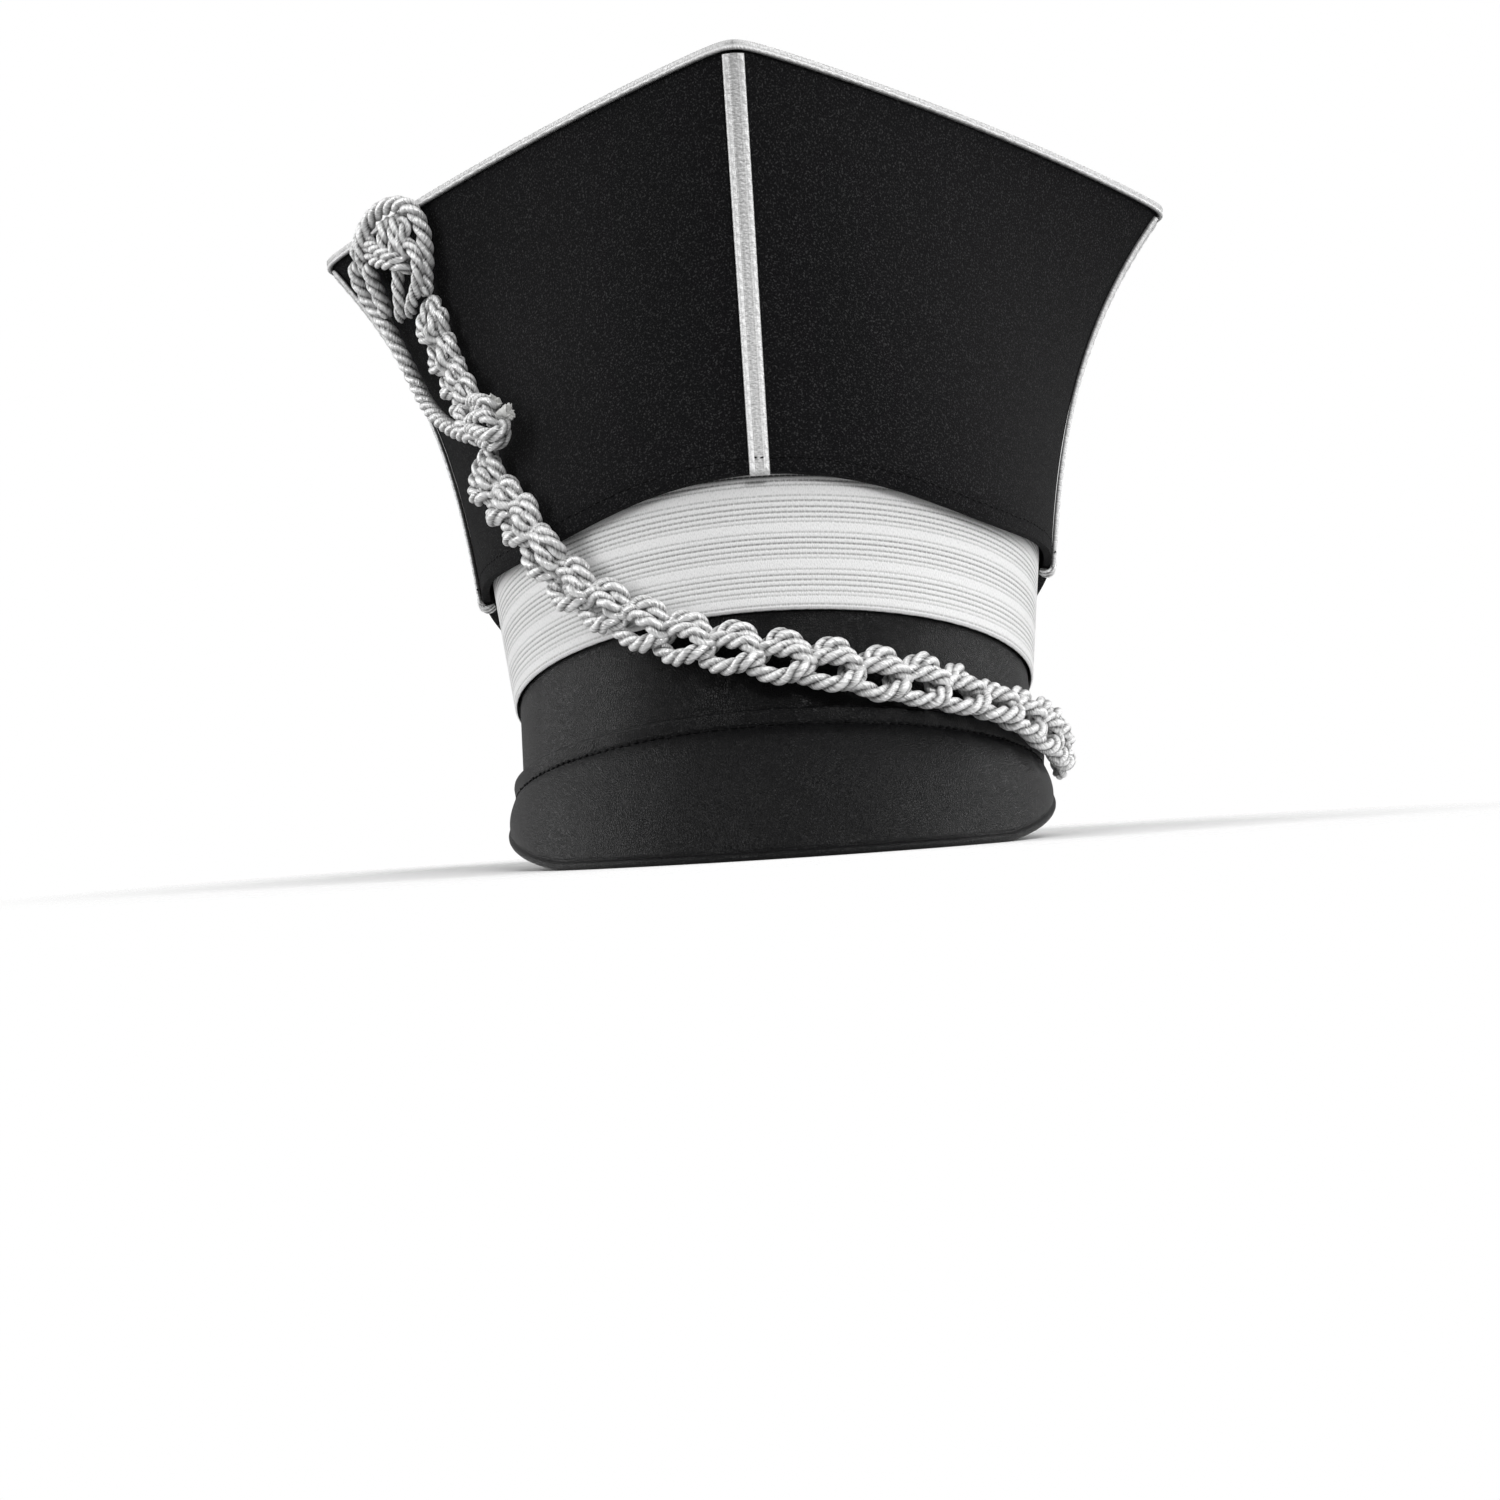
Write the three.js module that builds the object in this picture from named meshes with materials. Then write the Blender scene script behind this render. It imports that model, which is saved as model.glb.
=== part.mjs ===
// A four-cornered felt cap with a leather head band, a ribbed silver lace, a steep leather peak,
// silver braid over its edges and a plaited silver cap line across the front.
// Millimetres, +Z up, front towards -Y. It stands as it rests by itself on a flat surface,
// on the lower edge of the peak and the back of its rim.

import * as THREE from 'three';

// Sizes of the head band. Half sizes are measured inside the leather, at the rim.
const headHalfWidth = 80.5;
const headHalfDepth = 100;
const bandWall = 3;
const bandHeight = 32;        // rim to lace at the ears
const rimSlope = 0.047;       // the rim falls this much towards the front for each mm
const bandTuck = 5;           // how far the leather runs on above the lace

// The ribbed lace round the upper band.
const laceHeight = 43;
const laceThickness = 1.4;
const laceFlare = 0.128;      // the band behind it widens this much for each mm of height

// The felt crown: round below, square above, with one corner to the front.
const feltThickness = 2.5;
const crownOverlap = 3;       // the crown's lower edge covers this much of the lace
const crownEase = 1;          // between the lace and the felt that covers its top
const crownHeight = 124.6;
const crownHalfDiagonal = 142.6;
const sideRidgeStand = 0.3;   // the side ridges stand this much prouder at the bottom
const ridgeRound = 4;         // rounding of the ridges across their corner
const ridgeRise = 0.35;       // share of the widening that is even with height
const ridgeSweep = 2.7;       // power of the rest of it, which comes near the top
const panelFlatness = 0.88;   // 1 would be a square top with straight sides
const crownDip = 7.2;         // the lower edge hangs down this much between two ridges
const crownDipSkew = 1.1;     // above 1 it hangs lowest nearer to the side ridge

// The braid on the ridges and the top edge: two raised cords with a sunk middle.
const trimWidth = 6.2;
const trimCordHeight = 1.5;
const trimMiddleHeight = 0.9;
const trimOnSide = 2.3;       // how far the top edge's braid comes down the side
const trimOverhang = 1;       // the ridge braid ends this far below the felt

// The peak.
const peakLength = 50.5;      // folded edge to lower edge, at the front
const peakThickness = 2.5;
const peakFlareFront = 18;    // degrees outwards from the crown's axis
const peakFlareSide = 6;
const peakCollar = 5;         // folded edge to stitch line
const peakAboveRim = 6.5;     // the folded edge lies this far above the rim
const peakHalfSpan = 93;      // degrees of the head oval from the front to the peak's ends
const peakRestHalfSpan = 46;  // degrees that rest on the surface
const peakEndLift = 13;       // how far the lower edge has risen at the ends
const peakEndSweep = 1.2;     // power of that rise
const peakCornerRound = 4;
const peakCornerSpan = 8;     // degrees taken by the rounded lower corners
const peakCrown = 1.5;        // how far the peak bulges between its edges
const beadWidth = 3;
const beadStand = 0.9;

// The cap line: a flat plait, and the plain doubled cord that its loop and leg are made of.
const plaitDiameter = 11;
const doubleCordDiameter = 6.8;
const cutEndDiameter = 5;
const cutEndLength = 7;
const endLoopRadius = 4.8;
const endLoopCord = 4.6;

// The gap that touching pieces keep.
const seam = 0.3;

const degrees = Math.PI / 180;

const felt = { color: 0x1b1b1d, roughness: 0.95, metalness: 0 };
const leather = { color: 0x1d1d1f, roughness: 0.5, metalness: 0 };
const silverLace = { color: 0xe4e4e4, roughness: 0.4, metalness: 0.35 };
const silverCord = { color: 0xdadada, roughness: 0.45, metalness: 0.3 };

// One named sub-part with its own material.
function piece(name, geometry, finish) {
  const mesh = new THREE.Mesh(geometry, new THREE.MeshStandardMaterial(finish));
  mesh.name = name;
  return mesh;
}

// A closed solid through a row of sections, each a closed polygon with the same even number of points.
// A ring joins its last section to its first. Open ends are covered by quads between point k and its
// partner at the other end of the list, so a section runs along one face and back along the other.
// The faces are turned outwards whichever way the sections run.
function loft(sections, ring = false) {
  const count = sections[0].length;
  const points = sections.flat();
  const faces = [];
  const quad = (a, b, c, d) => faces.push(a, b, c, a, c, d);
  const spans = ring ? sections.length : sections.length - 1;
  for (let i = 0; i < spans; i++) {
    const here = i * count;
    const next = ((i + 1) % sections.length) * count;
    for (let k = 0; k < count; k++) {
      const after = (k + 1) % count;
      quad(here + k, here + after, next + after, next + k);
    }
  }
  if (!ring) {
    const last = (sections.length - 1) * count;
    for (let k = 0; k < count / 2 - 1; k++) {
      const partner = count - 1 - k;
      quad(k, partner, partner - 1, k + 1);
      quad(last + k, last + k + 1, last + partner - 1, last + partner);
    }
  }
  let volume = 0;
  for (let f = 0; f < faces.length; f += 3) {
    const [a, b, c] = [points[faces[f]], points[faces[f + 1]], points[faces[f + 2]]];
    volume += a.dot(new THREE.Vector3().crossVectors(b, c));
  }
  if (volume < 0) faces.reverse();
  const geometry = new THREE.BufferGeometry();
  geometry.setAttribute('position', new THREE.Float32BufferAttribute(points.flatMap((p) => p.toArray()), 3));
  geometry.setIndex(faces);
  geometry.computeVertexNormals();
  return geometry;
}

// Evenly spaced values from first to last.
function spread(first, last, steps) {
  return Array.from({ length: steps + 1 }, (_, i) => first + ((last - first) * i) / steps);
}

// The head oval, grown outwards by `out`, at an angle counted from the front towards +X.
const bandOuterWidth = headHalfWidth + bandWall;
const bandOuterDepth = headHalfDepth + bandWall;

function ovalPoint(out, angle, height) {
  return new THREE.Vector3(
    (bandOuterWidth + out) * Math.sin(angle),
    -(bandOuterDepth + out) * Math.cos(angle),
    height,
  );
}

function rimHeight(y) {
  return -bandHeight + rimSlope * y;
}

// The band widens above the lace's lower edge, which is at height 0.
function bandGrowth(height) {
  return laceFlare * Math.max(0, height);
}

const ovalSteps = 72;
const ovalAngles = spread(0, 2 * Math.PI, ovalSteps).slice(0, ovalSteps);

function headBand() {
  const top = laceHeight + bandTuck;
  const sections = ovalAngles.map((angle) => {
    const rimAt = (out) => {
      const point = ovalPoint(out, angle, 0);
      point.z = rimHeight(point.y);
      return point;
    };
    return [
      rimAt(0),
      ovalPoint(0, angle, 0),
      ovalPoint(bandGrowth(top), angle, top),
      ovalPoint(bandGrowth(top) - bandWall, angle, top),
      ovalPoint(-bandWall, angle, 0),
      rimAt(-bandWall),
    ];
  });
  return piece('head_band', loft(sections, true), leather);
}

function laceBand() {
  const inside = seam;
  const outside = seam + laceThickness;
  const sections = ovalAngles.map((angle) => [
    ovalPoint(outside, angle, 0),
    ovalPoint(outside + bandGrowth(laceHeight), angle, laceHeight),
    ovalPoint(inside + bandGrowth(laceHeight), angle, laceHeight),
    ovalPoint(inside, angle, 0),
  ]);
  return piece('lace_band', loft(sections, true), silverLace);
}

// The crown's surface. `place` counts corners round the crown: 0 front, 1 right, 2 back, 3 left.
// `share` is the height share from the lower edge to the top.
const crownBottom = laceHeight - crownOverlap;
const laceTopOut = seam + laceThickness + bandGrowth(laceHeight);
const ridgeBottomFront = bandOuterDepth + laceTopOut + crownEase + feltThickness;
const ridgeBottomSide = bandOuterWidth + laceTopOut + crownEase + feltThickness + sideRidgeStand;

function ridgeRadius(bottom, share) {
  const low = Math.max(0, share);
  const swell = ridgeRise * share + (1 - ridgeRise) * low ** ridgeSweep;
  return bottom + (crownHalfDiagonal - bottom) * swell;
}

// A straight side's share of a corner distance, rounded off at the corner itself.
function roundedShare(along, rounding) {
  const curve = (value) => Math.sqrt(value * value + rounding * rounding) - rounding;
  return curve(along) / curve(1);
}

function crownPoint(place, share) {
  const turn = ((place % 4) + 4) % 4;
  const quarter = Math.floor(turn);
  const along = quarter % 2 === 0 ? turn - quarter : quarter + 1 - turn;
  const dip = crownDip * Math.sin(Math.PI * along ** crownDipSkew) ** 2 * (1 - share) ** 2;
  const level = share - dip / crownHeight;
  const side = ridgeRadius(ridgeBottomSide, level);
  const front = ridgeRadius(ridgeBottomFront, level);
  const flat = panelFlatness * Math.max(0, level);
  const rounding = ridgeRound / crownHalfDiagonal;
  const arc = (along * Math.PI) / 2;
  const x = (1 - flat) * Math.sin(arc) + flat * (1 - roundedShare(1 - along, rounding));
  const y = (1 - flat) * Math.cos(arc) + flat * (1 - roundedShare(along, rounding));
  const right = quarter < 2 ? 1 : -1;
  const back = quarter === 1 || quarter === 2 ? 1 : -1;
  return new THREE.Vector3(right * side * x, back * front * y, crownBottom + crownHeight * level);
}

// The outward normal of that surface.
function crownNormal(place, share) {
  const step = 0.001;
  const round = crownPoint(place + step, share).sub(crownPoint(place - step, share));
  const up = crownPoint(place, share + step).sub(crownPoint(place, share - step));
  return round.cross(up).normalize();
}

// The inner face at the same height, so that the felt's edges stay level.
function crownInside(place, share, thickness) {
  const normal = crownNormal(place, share);
  const level = new THREE.Vector3(normal.x, normal.y, 0);
  const slant = level.length();
  return crownPoint(place, share).addScaledVector(level.normalize(), -thickness / slant);
}

// How far round the crown lies a point `distance` mm from a ridge, at a height share.
function placeBeside(ridge, distance, share) {
  const step = 0.0005 * Math.sign(distance);
  let place = ridge;
  let walked = 0;
  let last = crownPoint(place, share);
  while (walked < Math.abs(distance)) {
    place += step;
    const next = crownPoint(place, share);
    walked += next.distanceTo(last);
    last = next;
  }
  return place;
}

// Shares of a panel's width and height, closer together where the felt bends most.
const panelColumns = [0, 0.015, 0.035, 0.07, 0.14, 0.23, 0.32, 0.41];
const allColumns = [...panelColumns, 0.5, ...panelColumns.map((share) => 1 - share).reverse()];
const panelRows = [0, 0.12, 0.24, 0.36, 0.47, 0.57, 0.66, 0.74, 0.81, 0.875, 0.94, 1];

function crownPanel(name, quarter) {
  const sections = allColumns.map((column) => {
    const placeAt = (row) => {
      if (column === 0) return placeBeside(quarter, seam, row);
      if (column === 1) return placeBeside(quarter + 1, -seam, row);
      return quarter + column;
    };
    const outside = panelRows.map((row) => crownPoint(placeAt(row), row));
    const inside = panelRows.map((row) => crownInside(placeAt(row), row, feltThickness));
    return [...outside, ...inside.reverse()];
  });
  return piece(name, loft(sections), felt);
}

// Places round the top edge, the same as the panels' columns.
const topPlaces = [0, 1, 2, 3].flatMap((quarter) => allColumns.slice(0, -1).map((column) => quarter + column));

function crownLid() {
  const drop = feltThickness / crownHeight;
  const outline = (share) => topPlaces.map((place) => crownInside(place, share, feltThickness + seam));
  return piece('crown_top', loft([outline(1 - drop), outline(1)]), felt);
}

// The braid's section: distance from its middle line and height above what it lies on.
const trimSection = [
  { across: -1, height: trimMiddleHeight / 2 },
  { across: -0.74, height: trimCordHeight },
  { across: -0.45, height: trimMiddleHeight },
  { across: 0, height: trimMiddleHeight },
  { across: 0.45, height: trimMiddleHeight },
  { across: 0.74, height: trimCordHeight },
  { across: 1, height: trimMiddleHeight / 2 },
];

function ridgeTrim(name, ridge) {
  const bottom = -trimOverhang / crownHeight;
  const top = 1 - (trimOnSide + 2 * seam) / crownHeight;
  const shares = [bottom, ...panelRows.slice(1, -1), top];
  const sections = shares.map((share) => {
    const level = Math.max(share, 0);
    const at = (row, height) => {
      const place = placeBeside(ridge, (row.across * trimWidth) / 2, share);
      return crownPoint(place, share).addScaledVector(crownNormal(place, level), height);
    };
    const outside = trimSection.map((row) => at(row, seam + row.height));
    const inside = trimSection.map((row) => at(row, seam));
    return [...outside, ...inside.reverse()];
  });
  return piece(name, loft(sections), silverLace);
}

// The braid folded over the square top edge, with less of it on the side than on the top.
function topEdgeTrim() {
  const up = new THREE.Vector3(0, 0, 1);
  const step = 0.001;
  const rowBelow = panelRows[panelRows.length - 2];
  const sections = topPlaces.map((place) => {
    const edge = crownPoint(place, 1);
    const down = crownPoint(place, rowBelow).sub(edge).normalize();
    const round = crownPoint(place + step, 1).sub(crownPoint(place - step, 1));
    const side = down.clone().cross(round).normalize();
    const inwards = new THREE.Vector3(-side.x, -side.y, 0).normalize();
    const corner = side.clone().add(up).normalize();
    const at = (row, height) => {
      const reach = row.across < 0 ? trimOnSide : trimWidth - trimOnSide;
      const distance = Math.abs(row.across) * reach;
      if (row.across === 0) return edge.clone().addScaledVector(corner, height / corner.dot(up));
      const along = row.across < 0 ? down : inwards;
      const out = row.across < 0 ? side : up;
      return edge.clone().addScaledVector(along, distance).addScaledVector(out, height);
    };
    const outside = trimSection.map((row) => at(row, seam + row.height));
    const inside = trimSection.map((row) => at(row, seam));
    return [...outside, ...inside.reverse()];
  });
  return piece('top_edge_trim', loft(sections, true), silverLace);
}

// The peak leaves the band at the stitch line and flares outwards and down to the resting plane.
const frontRim = rimHeight(-bandOuterDepth);
const peakTipReach = peakLength - peakCollar;
const peakOut = seam + peakThickness;
const restFront = new THREE.Vector2(
  -(bandOuterDepth + peakOut + peakTipReach * Math.sin(peakFlareFront * degrees)),
  frontRim + peakAboveRim - peakCollar - peakTipReach * Math.cos(peakFlareFront * degrees),
);
const restBack = new THREE.Vector2(bandOuterDepth, rimHeight(bandOuterDepth));
const restSlope = (restBack.y - restFront.y) / (restBack.x - restFront.x);

function restHeight(y) {
  return restBack.y + restSlope * (y - restBack.x);
}

// Length of the flared part at an angle, so that its lower edge meets the resting plane,
// less the rise towards the ends and their rounded corners.
function peakReach(out, angle, flare) {
  const start = ovalPoint(out, angle, 0);
  const startHeight = rimHeight(ovalPoint(0, angle, 0).y) + peakAboveRim - peakCollar;
  const fall = Math.cos(flare) - restSlope * Math.sin(flare) * Math.cos(angle);
  const toPlane = (startHeight - restHeight(start.y)) / fall;
  const turn = Math.abs(angle) / degrees;
  const rising = Math.max(0, (turn - peakRestHalfSpan) / (peakHalfSpan - peakRestHalfSpan));
  const cornering = Math.max(0, (turn - peakHalfSpan + peakCornerSpan) / peakCornerSpan);
  const corner = peakCornerRound * (1 - Math.sqrt(Math.max(0, 1 - cornering * cornering)));
  return toPlane - peakEndLift * rising ** peakEndSweep - corner;
}

function peakFlare(angle) {
  const side = Math.sin(angle) ** 2;
  return (peakFlareFront * (1 - side) + peakFlareSide * side) * degrees;
}

// A point of the peak `down` mm below its stitch line, on the face that is `out` mm off the band.
function peakPoint(out, angle, down, stand) {
  const flare = peakFlare(angle);
  const reach = peakReach(out, angle, flare);
  const share = Math.max(0, down / reach);
  const bulge = 4 * peakCrown * share * (1 - share);
  const away = Math.sin(flare) * Math.max(0, down) + bulge + stand;
  const startHeight = rimHeight(ovalPoint(0, angle, 0).y) + peakAboveRim - peakCollar;
  const fall = down > 0 ? Math.cos(flare) * down : down;
  return ovalPoint(out + away, angle, startHeight - fall);
}

const peakRows = [0.08, 0.3, 0.55, 0.8];

function peak() {
  const inner = peakHalfSpan - peakCornerSpan;
  const angles = [
    ...spread(-peakHalfSpan, -inner, 5).slice(0, 5),
    ...spread(-inner, inner, 40),
    ...spread(inner, peakHalfSpan, 5).slice(1),
  ].map((turn) => turn * degrees);
  const sections = angles.map((angle) => {
    const flare = peakFlare(angle);
    const face = (out, bead) => {
      const reach = peakReach(out, angle, flare);
      const beadTop = reach - beadWidth;
      return [
        peakPoint(out, angle, -peakCollar, 0),
        peakPoint(out, angle, 0, 0),
        ...peakRows.map((row) => peakPoint(out, angle, row * beadTop, 0)),
        peakPoint(out, angle, beadTop, 0),
        peakPoint(out, angle, beadTop + beadWidth * 0.3, bead),
        peakPoint(out, angle, beadTop + beadWidth * 0.8, bead),
        peakPoint(out, angle, reach, 0),
      ];
    };
    return [...face(peakOut, beadStand), ...face(seam, 0).reverse()];
  });
  return piece('peak', loft(sections), leather);
}

// The cap line is laid over the body. Its points are chosen by hand, in the cap's own frame.
const upperPlaitRoute = [
  [-104.9, -32.4, 188], [-104, -32.1, 180.2], [-102.6, -33.3, 174.7], [-100.8, -35.1, 168.7],
  [-98.9, -37.8, 163.4], [-96.8, -42, 158.2], [-94.1, -48.5, 153], [-91.1, -55.4, 148],
];
const plaitRoute = [
  [-87.6, -62.8, 134], [-87.6, -63.4, 128.5], [-86.3, -67.2, 122.5], [-82.9, -73.9, 117.3], [-77.1, -85.4, 110.3],
  [-73.2, -92.6, 104.3], [-69.8, -97.3, 98], [-65.2, -98.9, 92], [-60.4, -102.6, 86], [-53, -108.8, 80.1],
  [-44.2, -115.7, 74.3], [-36.8, -120.3, 70.2], [-29.1, -123.7, 66.9], [-21.5, -126.7, 64.4],
  [-14.2, -129, 62.4], [-6.3, -130.7, 60.3], [1.2, -131.4, 58.5], [9.9, -131.2, 56.6], [18.7, -129.9, 54.6],
  [26.8, -127.6, 52.7], [35.1, -124.2, 50.8], [41.7, -120.5, 49.4], [48.1, -116.2, 48], [53.7, -111.9, 46.5],
  [59, -107.2, 44.9], [64.6, -101.8, 43.1], [69.8, -96.6, 41.2], [74.4, -90.7, 39.2], [78.8, -84, 36.9],
  [83, -76.2, 34.6], [86.6, -66.6, 32.2], [89.4, -54.4, 30], [91.2, -43.2, 28.5], [92, -34, 27],
];
const loopRoute = [
  [-105, -32.2, 188.9], [-105.1, -31.3, 194.6], [-104.2, -33.1, 200.9], [-104.3, -34.6, 207.9],
  [-105.8, -35, 213.5], [-108.4, -34.4, 217.6], [-113.1, -30.1, 219.8], [-118, -25.2, 219.8],
  [-122.4, -20.3, 218], [-125.8, -16.4, 214.7], [-128.4, -11.6, 210.4], [-130.2, -7.6, 206.8],
];
const legRoute = [
  [-130.45, -6.8, 206], [-130.8, -5.4, 204.2], [-130.7, -3.4, 200.8], [-128.4, -2.4, 195.3], [-124.9, -3.7, 189.5],
  [-121.3, -5.6, 183.5], [-118.9, -6.4, 177.6], [-116.1, -7.8, 171.5], [-112.6, -10.4, 163.6],
  [-109.3, -15, 156.6], [-104.7, -24, 150], [-99.6, -33.5, 145], [-94, -43.5, 141.3], [-89.2, -51.6, 139.3],
];

const topKnotCentre = [-115, -22.7, 206.2];
const topKnotFacing = [-0.71, -0.65, -0.25];
const topKnotHalf = [8.2, 8.8, 4];
const tieKnotCentre = [-88.9, -61.5, 142.4];
const tieKnotFacing = [-0.87, -0.5, 0];
const tieKnotRadius = 8;
const upperCutDirection = [0.5, -0.7, 0.51];
const lowerCutDirection = [0.6, -0.78, -0.15];
const endLoopCentre = [92, -26.7, 25.4];

// Faces round and along the cord pieces.
const plaitSides = 10;
const plaitSteps = 30;
const upperPlaitSteps = 4;
const thinCordSides = 8;
const loopSteps = 14;
const legSteps = 12;
const endLoopSteps = 14;
const knotSides = 12;
const knotRings = 9;

function route(points) {
  return new THREE.CatmullRomCurve3(points.map((point) => new THREE.Vector3(...point)));
}

// A plain tube along a route.
function cordTube(name, points, diameter, sides, steps) {
  const section = new THREE.Shape();
  for (let side = 0; side < sides; side++) {
    const angle = (2 * Math.PI * side) / sides;
    const x = (diameter / 2) * Math.cos(angle);
    const y = (diameter / 2) * Math.sin(angle);
    if (side === 0) section.moveTo(x, y);
    else section.lineTo(x, y);
  }
  section.closePath();
  const tube = new THREE.ExtrudeGeometry(section, { steps, extrudePath: route(points) });
  return piece(name, tube, silverCord);
}

// A knot is a rounded lump with its flat side against what it lies on.
function knot(name, centre, outwards, halfWidth, halfHeight, halfThickness) {
  const lump = piece(name, new THREE.SphereGeometry(1, knotSides, knotRings), silverCord);
  lump.scale.set(halfWidth, halfHeight, halfThickness);
  lump.position.set(...centre);
  lump.up.set(0, 0, 1);
  lump.lookAt(lump.position.clone().add(new THREE.Vector3(...outwards)));
  return lump;
}

// A cut end of the cord stands out of the tied knot, away from the knot's middle.
function cutEnd(name, knotCentre, knotRadius, direction) {
  const along = new THREE.Vector3(...direction).normalize();
  const stub = new THREE.CylinderGeometry(cutEndDiameter / 2, cutEndDiameter / 2, cutEndLength, thinCordSides);
  const end = piece(name, stub, silverCord);
  end.quaternion.setFromUnitVectors(new THREE.Vector3(0, 1, 0), along);
  end.position.set(...knotCentre).addScaledVector(along, knotRadius + seam + cutEndLength / 2);
  return end;
}

// The small loop at the plait's right end stands upright, beside the end of the peak.
function endLoop() {
  const ring = new THREE.TorusGeometry(endLoopRadius, endLoopCord / 2, thinCordSides, endLoopSteps);
  const loop = piece('cap_line_end_loop', ring, silverCord);
  loop.position.set(...endLoopCentre);
  loop.rotation.y = Math.PI / 2;
  return loop;
}

// The body of the cap is made upright and then leans back on the surface it rests on.
const body = new THREE.Group();
body.add(headBand(), laceBand());
body.add(crownPanel('crown_panel_front_right', 0));
body.add(crownPanel('crown_panel_back_right', 1));
body.add(crownPanel('crown_panel_back_left', 2));
body.add(crownPanel('crown_panel_front_left', 3));
body.add(crownLid());
body.add(ridgeTrim('ridge_trim_front', 0));
body.add(ridgeTrim('ridge_trim_right', 1));
body.add(ridgeTrim('ridge_trim_back', 2));
body.add(ridgeTrim('ridge_trim_left', 3));
body.add(topEdgeTrim(), peak());

const lean = Math.atan(restSlope);
body.rotation.x = -lean;
body.position.z = Math.sin(lean) * restBack.x - Math.cos(lean) * restBack.y;

// The middle of the body's box comes over the origin.
body.updateMatrixWorld(true);
const box = new THREE.Box3().setFromObject(body, true);
body.position.y -= (box.min.y + box.max.y) / 2;

const cap = new THREE.Group();
cap.add(body);
cap.add(cordTube('cap_line_plait_upper', upperPlaitRoute, plaitDiameter, plaitSides, upperPlaitSteps));
cap.add(cordTube('cap_line_plait', plaitRoute, plaitDiameter, plaitSides, plaitSteps));
cap.add(cordTube('cap_line_top_loop', loopRoute, doubleCordDiameter, thinCordSides, loopSteps));
cap.add(cordTube('cap_line_leg', legRoute, doubleCordDiameter, thinCordSides, legSteps));
cap.add(knot('cap_line_top_knot', topKnotCentre, topKnotFacing, ...topKnotHalf));
cap.add(knot('cap_line_tie_knot', tieKnotCentre, tieKnotFacing, tieKnotRadius, tieKnotRadius, tieKnotRadius));
cap.add(cutEnd('cap_line_cut_end_upper', tieKnotCentre, tieKnotRadius, upperCutDirection));
cap.add(cutEnd('cap_line_cut_end_lower', tieKnotCentre, tieKnotRadius, lowerCutDirection));
cap.add(endLoop());

export default cap;
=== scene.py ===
import math
import random

import bmesh
import bpy
from mathutils import Matrix, Vector
from mathutils.bvhtree import BVHTree


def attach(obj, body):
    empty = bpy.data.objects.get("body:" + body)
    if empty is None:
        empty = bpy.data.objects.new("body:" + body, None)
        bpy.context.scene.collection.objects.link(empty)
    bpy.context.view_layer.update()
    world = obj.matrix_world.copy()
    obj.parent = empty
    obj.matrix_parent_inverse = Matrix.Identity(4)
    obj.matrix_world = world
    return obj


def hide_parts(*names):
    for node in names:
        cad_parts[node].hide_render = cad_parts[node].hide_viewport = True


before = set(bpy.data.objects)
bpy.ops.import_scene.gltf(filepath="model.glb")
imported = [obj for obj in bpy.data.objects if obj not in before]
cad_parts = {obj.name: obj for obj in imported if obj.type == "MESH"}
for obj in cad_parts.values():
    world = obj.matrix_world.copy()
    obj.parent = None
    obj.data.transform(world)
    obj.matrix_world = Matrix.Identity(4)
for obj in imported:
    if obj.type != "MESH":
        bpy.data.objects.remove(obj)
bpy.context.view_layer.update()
random.seed(7)

# Sizes are in millimetres, as a hatter would write them, and turned to metres where points are placed.
MM = 0.001

# The head band, upright in the cap's own measure: height 0 is the lower edge of the lace.
HEAD_HALF_WIDTH = 80.5
HEAD_HALF_DEPTH = 100
BAND_WALL = 3
BAND_HEIGHT = 32
RIM_SLOPE = 0.047
OUTER_WIDTH = HEAD_HALF_WIDTH + BAND_WALL
OUTER_DEPTH = HEAD_HALF_DEPTH + BAND_WALL

# The lace.
LACE_HEIGHT = 43
LACE_THICKNESS = 1.4
LACE_FLARE = 0.128
RIB_PITCH = 1.58

# The crown.
FELT_THICKNESS = 2.5
CROWN_BOTTOM = LACE_HEIGHT - 3
CROWN_EASE = 1
CROWN_HEIGHT = 124.6
CROWN_HALF_DIAGONAL = 142.6
SIDE_RIDGE_STAND = 0.3
RIDGE_ROUND = 4
RIDGE_RISE = 0.35
RIDGE_SWEEP = 2.7
PANEL_FLATNESS = 0.88
CROWN_DIP = 7.2
CROWN_DIP_SKEW = 1.1

# The braid.
TRIM_WIDTH = 6.2
TRIM_CORD_HEIGHT = 1.5
TRIM_MIDDLE_HEIGHT = 0.8
# of the braid over the top edge, this much lies on the side
TRIM_ON_SIDE = 2.3
SEAM = 0.3

# The peak.
PEAK_LENGTH = 50.5
PEAK_THICKNESS = 2.5
PEAK_FLARE_FRONT = 18
PEAK_FLARE_SIDE = 6
PEAK_COLLAR = 5
PEAK_ABOVE_RIM = 6.5
PEAK_HALF_SPAN = 93
PEAK_REST_HALF_SPAN = 46
PEAK_END_LIFT = 13
PEAK_END_SWEEP = 1.2
PEAK_CORNER_ROUND = 4
PEAK_CORNER_SPAN = 8
PEAK_CROWN = 1.5
BEAD_WIDTH = 3

# The cap leans back as it rests on its peak and the back of its rim. The shifts bring the middle of its
# underside to the origin.
LEAN = math.radians(13.0009)
SHIFT_BACK = -21.485
SHIFT_UP = 49.634

# The cap line.
CORD_DIAMETER = 5.3


def stand(x, y, z):
    """A point of the upright cap, in millimetres, where it is when the cap rests: metres."""
    cos, sin = math.cos(LEAN), -math.sin(LEAN)
    return Vector((x, y * cos - z * sin + SHIFT_BACK, y * sin + z * cos + SHIFT_UP)) * MM


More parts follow.
